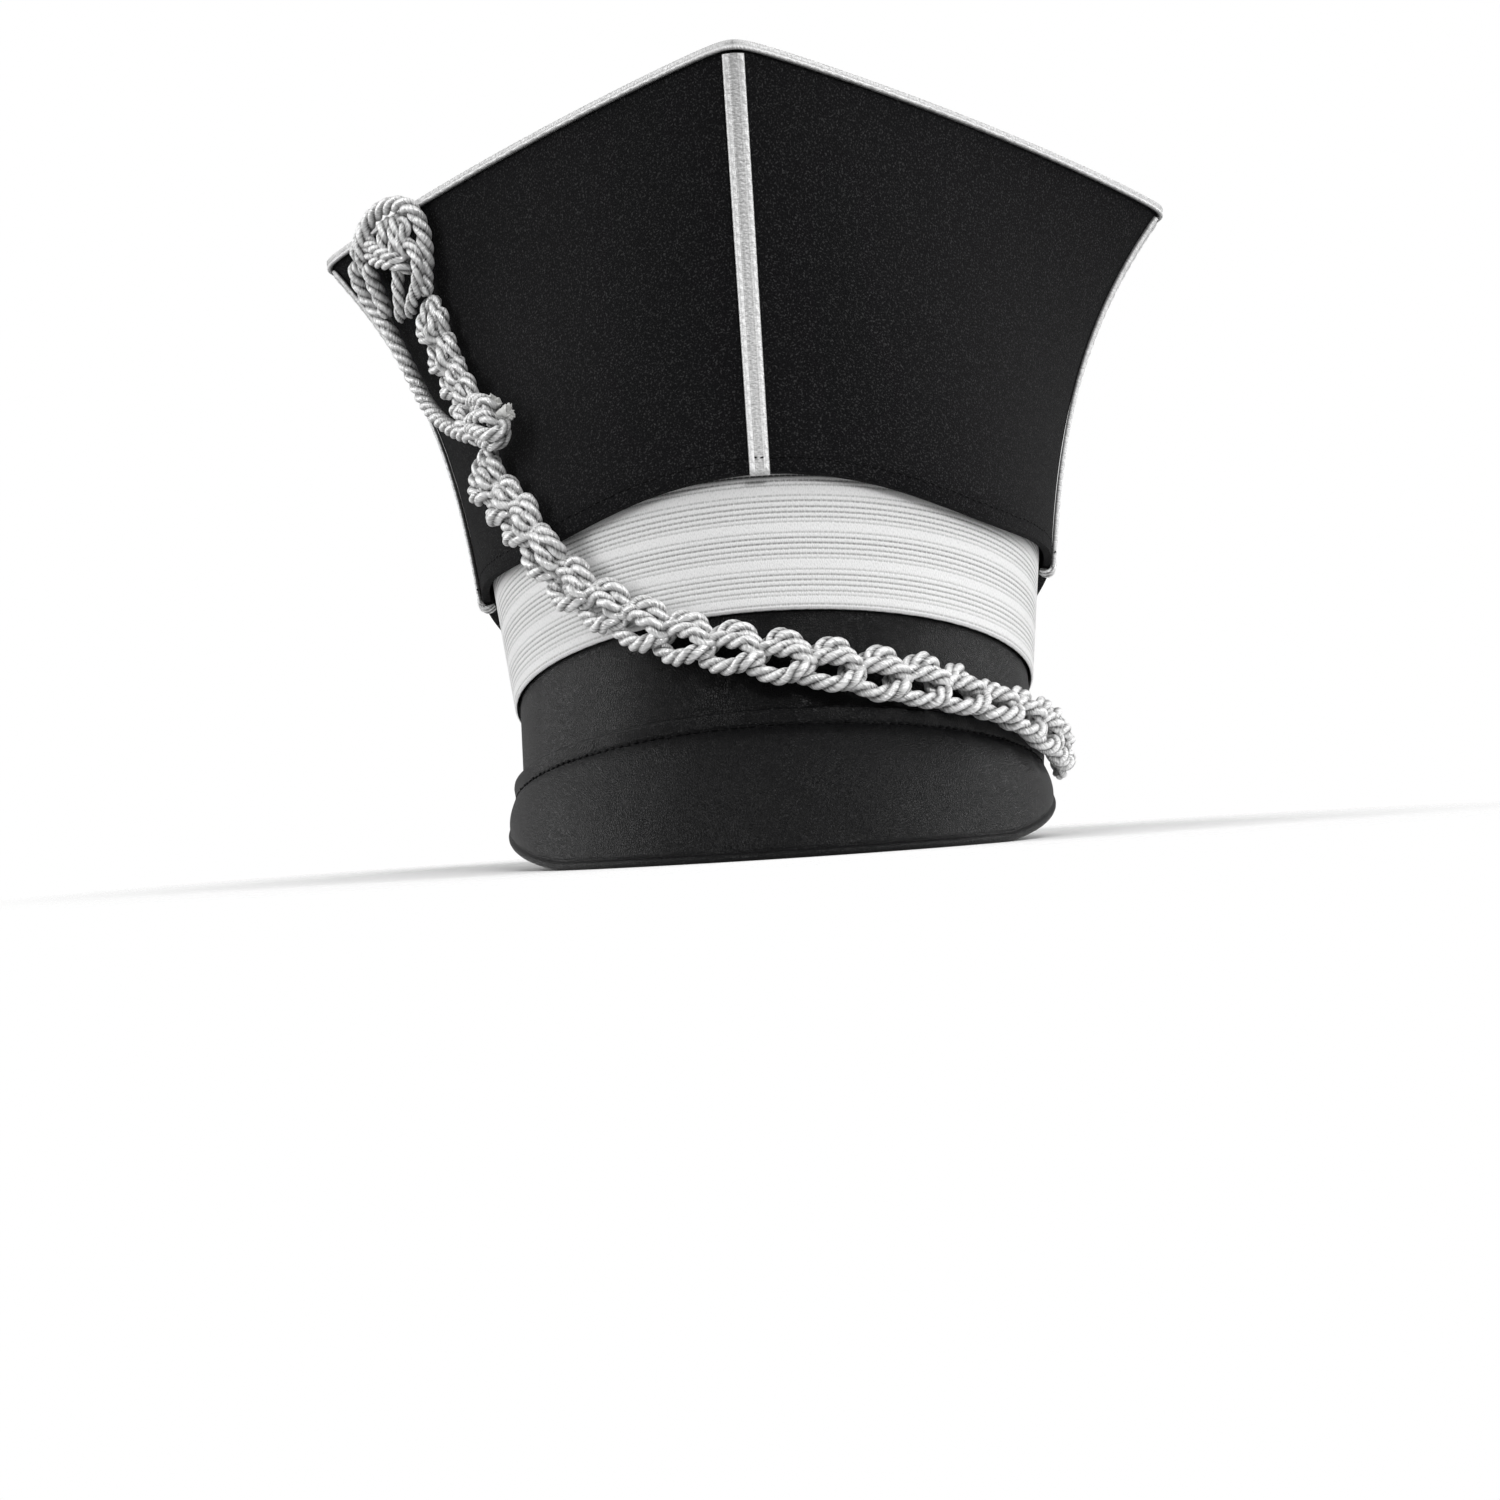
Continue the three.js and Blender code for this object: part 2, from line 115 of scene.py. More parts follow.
def linear(code):
    """A colour written as sRGB hex, turned to the linear values that the shader works in."""
    values = []
    for start in (0, 2, 4):
        value = int(code[start:start + 2], 16) / 255
        values.append(value / 12.92 if value <= 0.04045 else ((value + 0.055) / 1.055) ** 2.4)
    return (*values, 1.0)


# Camera: level, a metre in front, leaned by 3.7 degrees. Its shifts keep the cap where the frame has it.
CAMERA_AWAY = 1.0215
CAMERA_HEIGHT = 0.015
CAMERA_LENS = 72.7
CAMERA_SENSOR = 36
CAMERA_SHIFT = (-0.021, 0.0375)
CAMERA_NEAREST = 0.01
CAMERA_ROLL = math.radians(-3.7)

camera_data = bpy.data.cameras.new("camera")
camera_data.lens = CAMERA_LENS
camera_data.sensor_width = CAMERA_SENSOR
camera_data.shift_x, camera_data.shift_y = CAMERA_SHIFT
camera_data.clip_start = CAMERA_NEAREST
camera = bpy.data.objects.new("camera", camera_data)
camera.matrix_world = (
    Matrix.Translation((0, -CAMERA_AWAY, CAMERA_HEIGHT))
    @ Matrix.Rotation(math.radians(90), 4, "X")
    @ Matrix.Rotation(CAMERA_ROLL, 4, "Z")
)
bpy.context.scene.collection.objects.link(camera)
bpy.context.scene.camera = camera


def feed(tree, made, inputs):
    """Gives a node its values, and links the sockets that it is fed from."""
    for key, value in inputs.items():
        if isinstance(value, bpy.types.NodeSocket):
            tree.links.new(value, made.inputs[key])
        else:
            made.inputs[key].default_value = value


def node(tree, kind, inputs=None, **settings):
    """One shader node, with its settings, its values and the sockets it is fed from."""
    made = tree.nodes.new(kind)
    for key, value in settings.items():
        setattr(made, key, value)
    feed(tree, made, inputs or {})
    return made


def colour_stops(ramp, low, high):
    """Sets the two ends of a colour ramp, each a place and a colour."""
    for stop, (place, code) in zip(ramp.color_ramp.elements, (low, high)):
        stop.position = place
        stop.color = linear(code)


def start_material(name):
    material = bpy.data.materials.new(name)
    material.use_nodes = True
    tree = material.node_tree
    return material, tree, tree.nodes["Principled BSDF"]


def wool_felt():
    """Black wool felt: dull, with short fibres that catch a little light and lie in no direction."""
    material, tree, shader = start_material("black_wool_felt")
    place = node(tree, "ShaderNodeTexCoord").outputs["Object"]
    # fibres about 0.45 mm across, drawn a little coarse so that they show
    fibres = node(tree, "ShaderNodeTexNoise", {
        "Vector": place, "Scale": 2200.0, "Detail": 3.0, "Roughness": 0.7,
    })
    # soft pressing marks 12 mm across
    marks = node(tree, "ShaderNodeTexNoise", {"Vector": place, "Scale": 85.0, "Detail": 2.0})
    tint = node(tree, "ShaderNodeValToRGB", {"Fac": fibres.outputs["Fac"]})
    colour_stops(tint, (0.35, "050506"), (0.75, "161618"))
    # here and there a fibre end stands up and catches the light
    ends = node(tree, "ShaderNodeTexNoise", {"Vector": place, "Scale": 1700.0, "Detail": 1.0})
    specks = node(tree, "ShaderNodeMapRange", {
        "Value": ends.outputs["Fac"], "From Min": 0.55, "From Max": 0.72, "To Max": 0.03,
    })
    lit = node(tree, "ShaderNodeVectorMath", {0: tint.outputs["Color"], 1: specks.outputs["Result"]})
    shade = node(tree, "ShaderNodeMapRange", {"Value": marks.outputs["Fac"], "To Min": 0.9, "To Max": 1.1})
    mixed = node(tree, "ShaderNodeVectorMath", {0: lit.outputs["Vector"], 1: shade.outputs["Result"]},
                 operation="MULTIPLY")
    bump = node(tree, "ShaderNodeBump", {
        "Height": fibres.outputs["Fac"], "Strength": 0.6, "Distance": 0.0004,
    })
    feed(tree, shader, {
        "Base Color": mixed.outputs["Vector"], "Normal": bump.outputs["Normal"], "Roughness": 0.95,
        "Specular IOR Level": 0.1, "Sheen Weight": 0.02, "Sheen Roughness": 0.5,
    })
    return material


def grained_leather():
    """Black grained leather: small flat pebbles parted by fine creases, with a soft sheen."""
    material, tree, shader = start_material("black_grained_leather")
    place = node(tree, "ShaderNodeTexCoord").outputs["Object"]
    bend = node(tree, "ShaderNodeTexNoise", {"Vector": place, "Scale": 300.0, "Detail": 2.0})
    moved = node(tree, "ShaderNodeVectorMath", {0: bend.outputs["Color"], 1: (0.0012, 0.0012, 0.0012)},
                 operation="MULTIPLY_ADD")
    tree.links.new(place, moved.inputs[2])
    # pebbles 0.7 mm across, parted by creases
    pebbles = node(tree, "ShaderNodeTexVoronoi", {"Vector": moved.outputs["Vector"], "Scale": 1400.0},
                   feature="DISTANCE_TO_EDGE")
    crease = node(tree, "ShaderNodeMapRange", {"Value": pebbles.outputs["Distance"], "From Max": 0.28})
    # pores 0.3 mm across
    pores = node(tree, "ShaderNodeTexNoise", {"Vector": place, "Scale": 3300.0, "Detail": 2.0})
    # slow dents of the skin over what it covers
    dents = node(tree, "ShaderNodeTexNoise", {"Vector": place, "Scale": 60.0, "Detail": 1.0})
    fine = node(tree, "ShaderNodeMath", {0: pores.outputs["Fac"], 1: 0.35}, operation="MULTIPLY")
    height = node(tree, "ShaderNodeMath", {0: crease.outputs["Result"], 1: fine.outputs["Value"]})
    bump = node(tree, "ShaderNodeBump", {
        "Height": height.outputs["Value"], "Strength": 0.55, "Distance": 0.0002,
    })
    slow = node(tree, "ShaderNodeBump", {
        "Height": dents.outputs["Fac"], "Strength": 0.1, "Distance": 0.002,
        "Normal": bump.outputs["Normal"],
    })
    # painted shade: the creases between the pebbles are coloured darker than the pebbles' tops
    tint = node(tree, "ShaderNodeValToRGB", {"Fac": crease.outputs["Result"]})
    colour_stops(tint, (0.0, "040405"), (1.0, "0b0b0c"))
    gloss = node(tree, "ShaderNodeMapRange", {"Value": dents.outputs["Fac"], "To Min": 0.3, "To Max": 0.38})
    feed(tree, shader, {
        "Base Color": tint.outputs["Color"], "Roughness": gloss.outputs["Result"],
        "Normal": slow.outputs["Normal"], "Specular IOR Level": 0.13,
    })
    return material


def silver_thread(name, shade_code, body_code, turn_width, turn_length, bump_depth, roughness, metal=0.25,
                  dash=None, fleck=0.5):
    """Metal thread wound round a core: fine bright turns, with painted shade where the thread lies deep.
    turn_width and turn_length are how many turns there are to a millimetre, along the piece and across it;
    dash is in mm. The piece's own "groove" attribute is 0 in a groove and 1 on a ridge and says where the
    shade is painted; its UV map is in mm."""
    material, tree, shader = start_material(name)
    groove = node(tree, "ShaderNodeAttribute", attribute_name="groove").outputs["Fac"]
    marks = node(tree, "ShaderNodeUVMap", uv_map="UVMap")
    if dash:
        # threads cross the grooves at this distance, so the painted shade in a groove is broken into a row
        # of dashes
        sideways = node(tree, "ShaderNodeSeparateXYZ", {"Vector": marks.outputs["UV"]}).outputs["X"]
        turn = node(tree, "ShaderNodeMath", {0: sideways, 1: 2 * math.pi / dash}, operation="MULTIPLY")
        wave = node(tree, "ShaderNodeMath", {0: turn.outputs["Value"]}, operation="SINE")
        crossing = node(tree, "ShaderNodeMapRange", {
            "Value": wave.outputs["Value"], "From Min": 0.2, "From Max": 0.9, "To Max": 0.3,
        })
        lacking = node(tree, "ShaderNodeMath", {0: 1.0, 1: groove}, operation="SUBTRACT")
        groove = node(tree, "ShaderNodeMath", {
            0: crossing.outputs["Result"], 1: lacking.outputs["Value"], 2: groove,
        }, operation="MULTIPLY_ADD").outputs["Value"]
    spread = node(tree, "ShaderNodeMapping", {
        "Vector": marks.outputs["UV"], "Scale": (turn_width, turn_length, 1.0),
    })
    turns = node(tree, "ShaderNodeTexNoise", {
        "Vector": spread.outputs["Vector"], "Scale": 1.0, "Detail": 1.0,
    })
    # painted shade darkens a groove this much, and the turns lighten it again by their fleck
    shade_weight, fleck_weight = 0.75, 0.65
    depth = node(tree, "ShaderNodeMath", {0: groove, 1: shade_weight}, operation="MULTIPLY")
    grain = node(tree, "ShaderNodeMath", {0: turns.outputs["Fac"], 1: fleck, 2: depth.outputs["Value"]},
                 operation="MULTIPLY_ADD")
    level = node(tree, "ShaderNodeMapRange", {
        "Value": grain.outputs["Value"], "From Max": shade_weight + fleck_weight * fleck,
    })
    tint = node(tree, "ShaderNodeValToRGB", {"Fac": level.outputs["Result"]})
    # the ramp runs from the painted shade in the grooves to the thread's own bright colour
    colour_stops(tint, (0.3, shade_code), (0.95, body_code))
    bump = node(tree, "ShaderNodeBump", {
        "Height": turns.outputs["Fac"], "Strength": 0.6, "Distance": bump_depth,
    })
    feed(tree, shader, {
        "Base Color": tint.outputs["Color"], "Normal": bump.outputs["Normal"], "Metallic": metal,
        "Roughness": roughness,
    })
    return material


def waxed_thread():
    """Black waxed sewing thread, dull where it lies sunk in what it sews."""
    material, tree, shader = start_material("black_waxed_thread")
    place = node(tree, "ShaderNodeTexCoord").outputs["Object"]
    twist = node(tree, "ShaderNodeTexNoise", {"Vector": place, "Scale": 2500.0, "Detail": 1.0})
    bump = node(tree, "ShaderNodeBump", {
        "Height": twist.outputs["Fac"], "Strength": 0.5, "Distance": 0.0002,
    })
    feed(tree, shader, {
        "Base Color": linear("060607"), "Normal": bump.outputs["Normal"], "Roughness": 0.6,
        "Specular IOR Level": 0.08,
    })
    return material


def cut_threads():
    """The cotton core of the cord, white and matt, laid open where it is cut."""
    material, tree, shader = start_material("white_cotton_core")
    place = node(tree, "ShaderNodeTexCoord").outputs["Object"]
    threads = node(tree, "ShaderNodeTexNoise", {"Vector": place, "Scale": 1600.0, "Detail": 2.0})
    tint = node(tree, "ShaderNodeValToRGB", {"Fac": threads.outputs["Fac"]})
    colour_stops(tint, (0.0, "b8b8b6"), (1.0, "f6f6f4"))
    bump = node(tree, "ShaderNodeBump", {
        "Height": threads.outputs["Fac"], "Strength": 0.7, "Distance": 0.0004,
    })
    feed(tree, shader, {
        "Base Color": tint.outputs["Color"], "Normal": bump.outputs["Normal"], "Roughness": 0.9,
    })
    return material


def painted_highlight_strip():
    """A light grey strip, matt and finely bumped, that paints the thin highlight under the peak's bead: a
    painted highlight.
    """
    material, tree, shader = start_material("grey_painted_highlight_strip")
    place = node(tree, "ShaderNodeTexCoord").outputs["Object"]
    weave = node(tree, "ShaderNodeTexNoise", {"Vector": place, "Scale": 1800.0, "Detail": 1.0})
    bump = node(tree, "ShaderNodeBump", {
        "Height": weave.outputs["Fac"], "Strength": 0.4, "Distance": 0.0002,
    })
    feed(tree, shader, {"Base Color": linear("b4b4b6"), "Normal": bump.outputs["Normal"], "Roughness": 0.8})
    return material


FELT = wool_felt()
LEATHER = grained_leather()
# lace ribs: threads laid across them every 0.3 mm, 0.9 mm long, and tied down every 1.9 mm
LACE = silver_thread("silver_ribbed_lace", "505050", "eaeaea", turn_width=3.2, turn_length=1.1,
                     bump_depth=0.0002, roughness=0.62, metal=0.08, dash=1.9)
# braid: threads over its cords, drawn 0.5 mm apart so that they show
BRAID = silver_thread("silver_braid", "4c4c4c", "e6e6e6", turn_width=2.0, turn_length=1.2,
                      bump_depth=0.0003, roughness=0.45, fleck=0.8)
# cord: thread wound across each ply, drawn 0.6 mm apart so that it shows
CORD = silver_thread("silver_twisted_cord", "2a2a2a", "fafafa", turn_width=1.6, turn_length=0.4,
                     bump_depth=0.0008, roughness=0.32, metal=0.3, fleck=1.1)
CUT_THREADS = cut_threads()
THREAD = waxed_thread()
PAINTED_HIGHLIGHT = painted_highlight_strip()


MERGE_DISTANCE = 0.005 * MM


def rolled(name, columns, rows, place, material, closed=False, groove=None, measure=(1.0, 1.0)):
    """A grid shaped into a piece: place(u, v) gives a point in metres for shares u and v of the grid.
    closed joins the edges that meet. measure is the piece's size along u and v, for its UV map."""
    bpy.ops.object.select_all(action="DESELECT")
    bpy.ops.mesh.primitive_grid_add(x_subdivisions=columns, y_subdivisions=rows, size=1)
    piece = bpy.context.object
    piece.name = name
    mesh = piece.data
    shares = [(corner.co.x + 0.5, corner.co.y + 0.5) for corner in mesh.vertices]
    for corner, (u, v) in zip(mesh.vertices, shares):
        corner.co = place(u, v)
    for loop, mark in zip(mesh.loops, mesh.uv_layers.active.data):
        u, v = shares[loop.vertex_index]
        mark.uv = (u * measure[0], v * measure[1])
    if groove:
        depth = mesh.attributes.new("groove", "FLOAT", "POINT")
        depth.data.foreach_set("value", [groove(u, v) for u, v in shares])
    bpy.ops.object.mode_set(mode="EDIT")
    bpy.ops.mesh.select_all(action="SELECT")
    if closed:
        bpy.ops.mesh.remove_doubles(threshold=MERGE_DISTANCE)
        bpy.ops.mesh.normals_make_consistent(inside=False)
    bpy.ops.object.mode_set(mode="OBJECT")
    bpy.ops.object.shade_smooth()
    mesh.materials.append(material)
    return piece


def finish_modifier(piece, kind, **settings):
    """Adds a modifier and applies it."""
    bpy.ops.object.select_all(action="DESELECT")
    piece.select_set(True)
    bpy.context.view_layer.objects.active = piece
    modifier = piece.modifiers.new(kind.lower(), kind)
    for key, value in settings.items():
        setattr(modifier, key, value)
    bpy.ops.object.modifier_apply(modifier=modifier.name)


def finished(name, build, material):
    """The mesh that was built, as a piece of its own."""
    mesh = bpy.data.meshes.new(name)
    build.to_mesh(mesh)
    build.free()
    mesh.materials.append(material)
    piece = bpy.data.objects.new(name, mesh)
    bpy.context.scene.collection.objects.link(piece)
    return piece


def stands_for(piece, slot, *nodes):
    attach(piece, "root")
    if nodes:
        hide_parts(*nodes)


# The cap line comes first. Its points are listed, the same as in the part, in millimetres.
UPPER_PLAIT_ROUTE = [
    (-104.9, -32.4, 188), (-104, -32.1, 180.2), (-102.6, -33.3, 174.7), (-100.8, -35.1, 168.7),
    (-98.9, -37.8, 163.4), (-96.8, -42, 158.2), (-94.1, -48.5, 153), (-91.1, -55.4, 148),
]
PLAIT_ROUTE = [
    (-87.6, -62.8, 134), (-87.6, -63.4, 128.5), (-86.3, -67.2, 122.5), (-82.9, -73.9, 117.3),
    (-77.1, -85.4, 110.3), (-73.2, -92.6, 104.3), (-69.8, -97.3, 98), (-65.2, -98.9, 92),
    (-60.4, -102.6, 86), (-53, -108.8, 80.1), (-44.2, -115.7, 74.3), (-36.8, -120.3, 70.2),
    (-29.1, -123.7, 66.9), (-21.5, -126.7, 64.4), (-14.2, -129, 62.4), (-6.3, -130.7, 60.3),
    (1.2, -131.4, 58.5), (9.9, -131.2, 56.6), (18.7, -129.9, 54.6), (26.8, -127.6, 52.7),
    (35.1, -124.2, 50.8), (41.7, -120.5, 49.4), (48.1, -116.2, 48), (53.7, -111.9, 46.5),
    (59, -107.2, 44.9), (64.6, -101.8, 43.1), (69.8, -96.6, 41.2), (74.4, -90.7, 39.2), (78.8, -84, 36.9),
    (83, -76.2, 34.6), (86.6, -66.6, 32.2), (89.4, -54.4, 30), (91.2, -43.2, 28.5), (92, -34, 27),
]
LOOP_ROUTE = [
    (-105, -32.2, 188.9), (-105.1, -31.3, 194.6), (-104.2, -33.1, 200.9), (-104.3, -34.6, 207.9),
    (-105.8, -35, 213.5), (-108.4, -34.4, 217.6), (-113.1, -30.1, 219.8), (-118, -25.2, 219.8),
    (-122.4, -20.3, 218), (-125.8, -16.4, 214.7), (-128.4, -11.6, 210.4), (-130.2, -7.6, 206.8),
]
LEG_ROUTE = [
    (-130.45, -6.8, 206), (-130.8, -5.4, 204.2), (-130.7, -3.4, 200.8), (-128.4, -2.4, 195.3),
    (-124.9, -3.7, 189.5), (-121.3, -5.6, 183.5), (-118.9, -6.4, 177.6), (-116.1, -7.8, 171.5),
    (-112.6, -10.4, 163.6), (-109.3, -15, 156.6), (-104.7, -24, 150), (-99.6, -33.5, 145),
    (-94, -43.5, 141.3), (-89.2, -51.6, 139.3),
]

# What the cord lies on: the nearest point of these says which way is outwards.
carried_by = []
for carrier in ("head_band", "lace_band", "crown_panel_front_left", "crown_panel_front_right", "peak"):
    carried_by.append(BVHTree.FromObject(bpy.data.objects[carrier], bpy.context.evaluated_depsgraph_get()))


def outwards(point):
    nearest = min((tree.find_nearest(point) for tree in carried_by), key=lambda found: found[3])
    return (point - nearest[0]).normalized()


FINE_PIECES_PER_STEP = 3


def smooth_line(points, step):
    """Evenly spaced points on a smooth curve through the given ones."""
    ends = [points[0] * 2 - points[1], *points, points[-1] * 2 - points[-2]]
    fine = []
    for a, b, c, d in zip(ends, ends[1:], ends[2:], ends[3:]):
        pieces = max(2, math.ceil((c - b).length / step * FINE_PIECES_PER_STEP))
        for k in range(pieces):
            t = k / pieces
            fine.append(0.5 * (2 * b + (c - a) * t + (2 * a - 5 * b + 4 * c - d) * t * t
                               + (3 * b - a - 3 * c + d) * t * t * t))
    fine.append(points[-1])
    total = sum((b - a).length for a, b in zip(fine, fine[1:]))
    count = max(2, round(total / step))
    line = [fine[0]]
    walked = 0.0
    for a, b in zip(fine, fine[1:]):
        length = (b - a).length
        while len(line) < count and walked + length >= len(line) * total / count:
            line.append(a.lerp(b, (len(line) * total / count - walked) / length))
        walked += length
    line.append(fine[-1])
    return line, total


ROUTE_STEP = 1.0
# the way outwards is evened out over this many steps to each side
EVEN_STEPS = 10
# towards its right end the plait stands up a little from the band and turns to the front: from this far to
# the right of the middle, and fully after this many mm more
TURN_START = 50
TURN_RUN = 40


class Course:
    """A route with its outward and sideways directions, to lay stitches along."""

    def __init__(self, route, turn_forward=0.0):
        points = [Vector(point) * MM for point in route]
        self.line, self.length = smooth_line(points, ROUTE_STEP * MM)
        raw = [outwards(point) for point in self.line]
        self.out = []
        for index in range(len(raw)):
            near = raw[max(0, index - EVEN_STEPS):index + EVEN_STEPS + 1]
            turned = max(0.0, self.line[index].x - TURN_START * MM) / (TURN_RUN * MM) * turn_forward
            self.out.append((sum(near, Vector()).normalized() + Vector((0, -turned, 0))).normalized())

    def at(self, along, side, out):
        """A point `along` metres from the start, `side` across the route and `out` off it."""
        share = along / self.length * (len(self.line) - 1)
        low = min(max(int(share), 0), len(self.line) - 2)
        part = share - low
        a, b = self.line[low], self.line[low + 1]
        tangent = (b - a).normalized()
        up = self.out[low].lerp(self.out[low + 1], min(max(part, 0), 1))
        across = up.cross(tangent).normalized()
        return a + (b - a) * part + across * side + across.cross(tangent).normalized() * -out


# The cord: three plies laid up left-handed. Each ply is round, of this share of the cord's radius.
PLIES = 3
PLY_SHARE = 0.56
SECTION_SIDES = 18
CORD_STEP = 0.78
# the threads wound on a ply lie across it: the way a ply runs, as (along the cord, round the cord)
PLY_RUN = (0.59, -0.81)
# a cord's end draws in to this share of its thickness over its last steps, and its end face takes painted
# shade, this far from dark
CORD_END_SHARE = 0.55
CORD_END_STEPS = 3
CORD_END_SHADE = 0.4


def ply_radius(from_crest):
    """The cord's outline at an angle from the middle of a ply, as a share of its radius."""
    seat = 1 - PLY_SHARE
    return seat * math.cos(from_crest) + math.sqrt(PLY_SHARE ** 2 - (seat * math.sin(from_crest)) ** 2)


CREASE_RADIUS = ply_radius(math.pi / PLIES)


def twisted_cords(name, strands, diameter=CORD_DIAMETER):
    """Cords of three twisted plies, each along its own line of points, as one mesh."""
    build = bmesh.new()
    marks = build.loops.layers.uv.new("UVMap")
    depth = build.verts.layers.float.new("groove")
    side_angle = 2 * math.pi / SECTION_SIDES
    corner_girth = math.pi * diameter / SECTION_SIDES
    for strand in strands:
        line, total = smooth_line(strand, CORD_STEP * MM)
        count = len(line)
        side = None
        rings = []
        for index, point in enumerate(line):
            ahead = line[min(index + 1, count - 1)] - line[max(index - 1, 0)]
            tangent = ahead.normalized()
            if side is None:
                side = tangent.orthogonal().normalized()
            side = (side - tangent * side.dot(tangent)).normalized()
            across = tangent.cross(side)
            from_end = min(index, count - 1 - index) / CORD_END_STEPS
            taper = min(1.0, CORD_END_SHARE + (1 - CORD_END_SHARE) * from_end)
            ring = []
            for k in range(SECTION_SIDES):
                # the plies turn on by one corner at each step, so their creases keep to the corners
                from_crest = (k + index) % (SECTION_SIDES // PLIES) * side_angle
                from_crest = min(from_crest, 2 * math.pi / PLIES - from_crest)
                share = ply_radius(from_crest)
                way = side * math.cos(k * side_angle) + across * math.sin(k * side_angle)
                corner = build.verts.new(point + way * (diameter / 2 * MM * share * taper))
                # painted shade on the cord: 0, darkest, in the creases between its plies and 1 on their
                # crests
                corner[depth] = (share - CREASE_RADIUS) / (1 - CREASE_RADIUS)
                ring.append(corner)
            rings.append((ring, total * index / (count - 1) / MM))
        for (ring, start), (after, end) in zip(rings, rings[1:]):
            for k in range(SECTION_SIDES):
                nxt = (k + 1) % SECTION_SIDES
                corners = (
                    (ring[k], start, k), (ring[nxt], start, k + 1),
                    (after[nxt], end, k + 1), (after[k], end, k),
                )
                # cut along the crease's own diagonal
                for picked in ((0, 1, 3), (1, 2, 3)):
                    face = build.faces.new([corners[number][0] for number in picked])
                    face.smooth = True
                    for loop, number in zip(face.loops, picked):
                        along, girth = corners[number][1], corners[number][2] * corner_girth
                        loop[marks].uv = (along * PLY_RUN[0] + girth * PLY_RUN[1],
                                          along * PLY_RUN[1] - girth * PLY_RUN[0])
        for ring, turned in ((rings[0][0], True), (rings[-1][0], False)):
            middle = build.verts.new(sum((corner.co for corner in ring), Vector()) / SECTION_SIDES)
            middle[depth] = CORD_END_SHADE
            for k in range(SECTION_SIDES):
                pair = (ring[k], ring[(k + 1) % SECTION_SIDES])
                face = build.faces.new((*(reversed(pair) if turned else pair), middle))
                face.smooth = True
    return finished(name, build, CORD)


# One chain stitch. ahead is in stitch pitches, side and out in mm. The cord comes up through the last
# stitch, its two legs open to both sides, run along the plait's edges and close under the next stitch.
STITCH_LEG = [
    {"ahead": -0.04, "side": 0.8, "out": -1.2},
    {"ahead": 0.06, "side": 1.6, "out": 1.2},
    {"ahead": 0.18, "side": 3.2, "out": 2.5},
    {"ahead": 0.34, "side": 4.6, "out": 1.9},
    {"ahead": 0.60, "side": 5.1, "out": 0.6},
    {"ahead": 0.86, "side": 4.4, "out": -0.7},
    {"ahead": 1.06, "side": 3.0, "out": -2.2},
]
UPPER_LEG_SHARE = 0.56
STITCH_HEAD = {"ahead": 1.18, "side": 0.0, "out": -3.0}
# from one stitch to the next the cord bows out at the plait's upper edge
STITCH_BOW = [
    {"ahead": 0.10, "side": 3.4, "out": -1.9},
    {"ahead": 0.32, "side": 6.2, "out": -0.9},
    {"ahead": 0.58, "side": 6.6, "out": -0.6},
    {"ahead": 0.84, "side": 4.4, "out": -2.3},
]
STITCH = [
    *[{"ahead": row["ahead"], "side": -row["side"], "out": row["out"]} for row in STITCH_LEG],
    STITCH_HEAD,
    *[{"ahead": row["ahead"], "side": row["side"] * UPPER_LEG_SHARE, "out": row["out"]}
      for row in reversed(STITCH_LEG)],
    *STITCH_BOW,
]


# share of a stitch's pitch that is left free at each end of a plait
FREE_END = 0.25


def chain_stitches(course, stitches, jitter, spread=1.0, widening=0.0):
    """The cord of a plait, worked from the far end of the course back to its start."""
    pitch = course.length / MM / (stitches + 2 * FREE_END)
    strand = []
    for number in range(stitches):
        for row in STITCH:
            along = course.length / MM - (number + FREE_END + row["ahead"]) * pitch
            shake = Vector([random.uniform(-jitter, jitter) for _ in range(3)])
            # the stitches nearer to the far end are looser
            wide = spread * (1 + widening * (1 - number / stitches))
            spot = Vector((along, row["side"] * wide, row["out"] * spread)) + shake
            strand.append(course.at(*(spot * MM)))
    return strand


PLAIT_STITCHES = 19
UPPER_PLAIT_STITCHES = 4
UPPER_PLAIT_CORD_DIAMETER = 4.4
main_course = Course(PLAIT_ROUTE, turn_forward=0.8)
main_strand = chain_stitches(main_course, PLAIT_STITCHES, jitter=0.35, widening=0.15)
plait = twisted_cords("cap_line_plait_stitches", [main_strand])
upper_course = Course(UPPER_PLAIT_ROUTE)
upper_strand = chain_stitches(upper_course, UPPER_PLAIT_STITCHES, jitter=0.3, spread=0.95)
upper_plait = twisted_cords("cap_line_plait_upper_stitches", [upper_strand], UPPER_PLAIT_CORD_DIAMETER)
stands_for(plait, "cord", "cap_line_plait")
stands_for(upper_plait, "cord", "cap_line_plait_upper")


# The loop and the leg are one cord. Inside the loop's left side a second pass of it comes down from the
# knot and joins the leg.
LOOP_CORD_DIAMETER = 5.6
SECOND_PASS = [
    (-125.5, -14, 204), (-125, -11.5, 199.5), (-123.5, -9.8, 195), (-122, -8.5, 190.5), (-121, -7.8, 186.5),
]
loop_course = Course(LOOP_ROUTE)
leg_course = Course(LEG_ROUTE)
top_loop = twisted_cords("cap_line_top_loop_cord", [loop_course.line], LOOP_CORD_DIAMETER)
leg = twisted_cords("cap_line_leg_cord", [leg_course.line], LOOP_CORD_DIAMETER)
second_pass = twisted_cords("cap_line_leg_second_pass", [[Vector(row) * MM for row in SECOND_PASS]],
                            LOOP_CORD_DIAMETER)
stands_for(top_loop, "cord", "cap_line_top_loop")
stands_for(leg, "cord", "cap_line_leg")
stands_for(second_pass, "cord")

FRAME_PIXELS = 1500
# the search along a line of sight: where it starts, in metres, its most steps, and in mm how near it ends
# and how far it goes on at least
SEARCH_START = 0.8
SEARCH_STEPS = 60
SEARCH_NEAR = 0.05
SEARCH_LEAST = 0.1


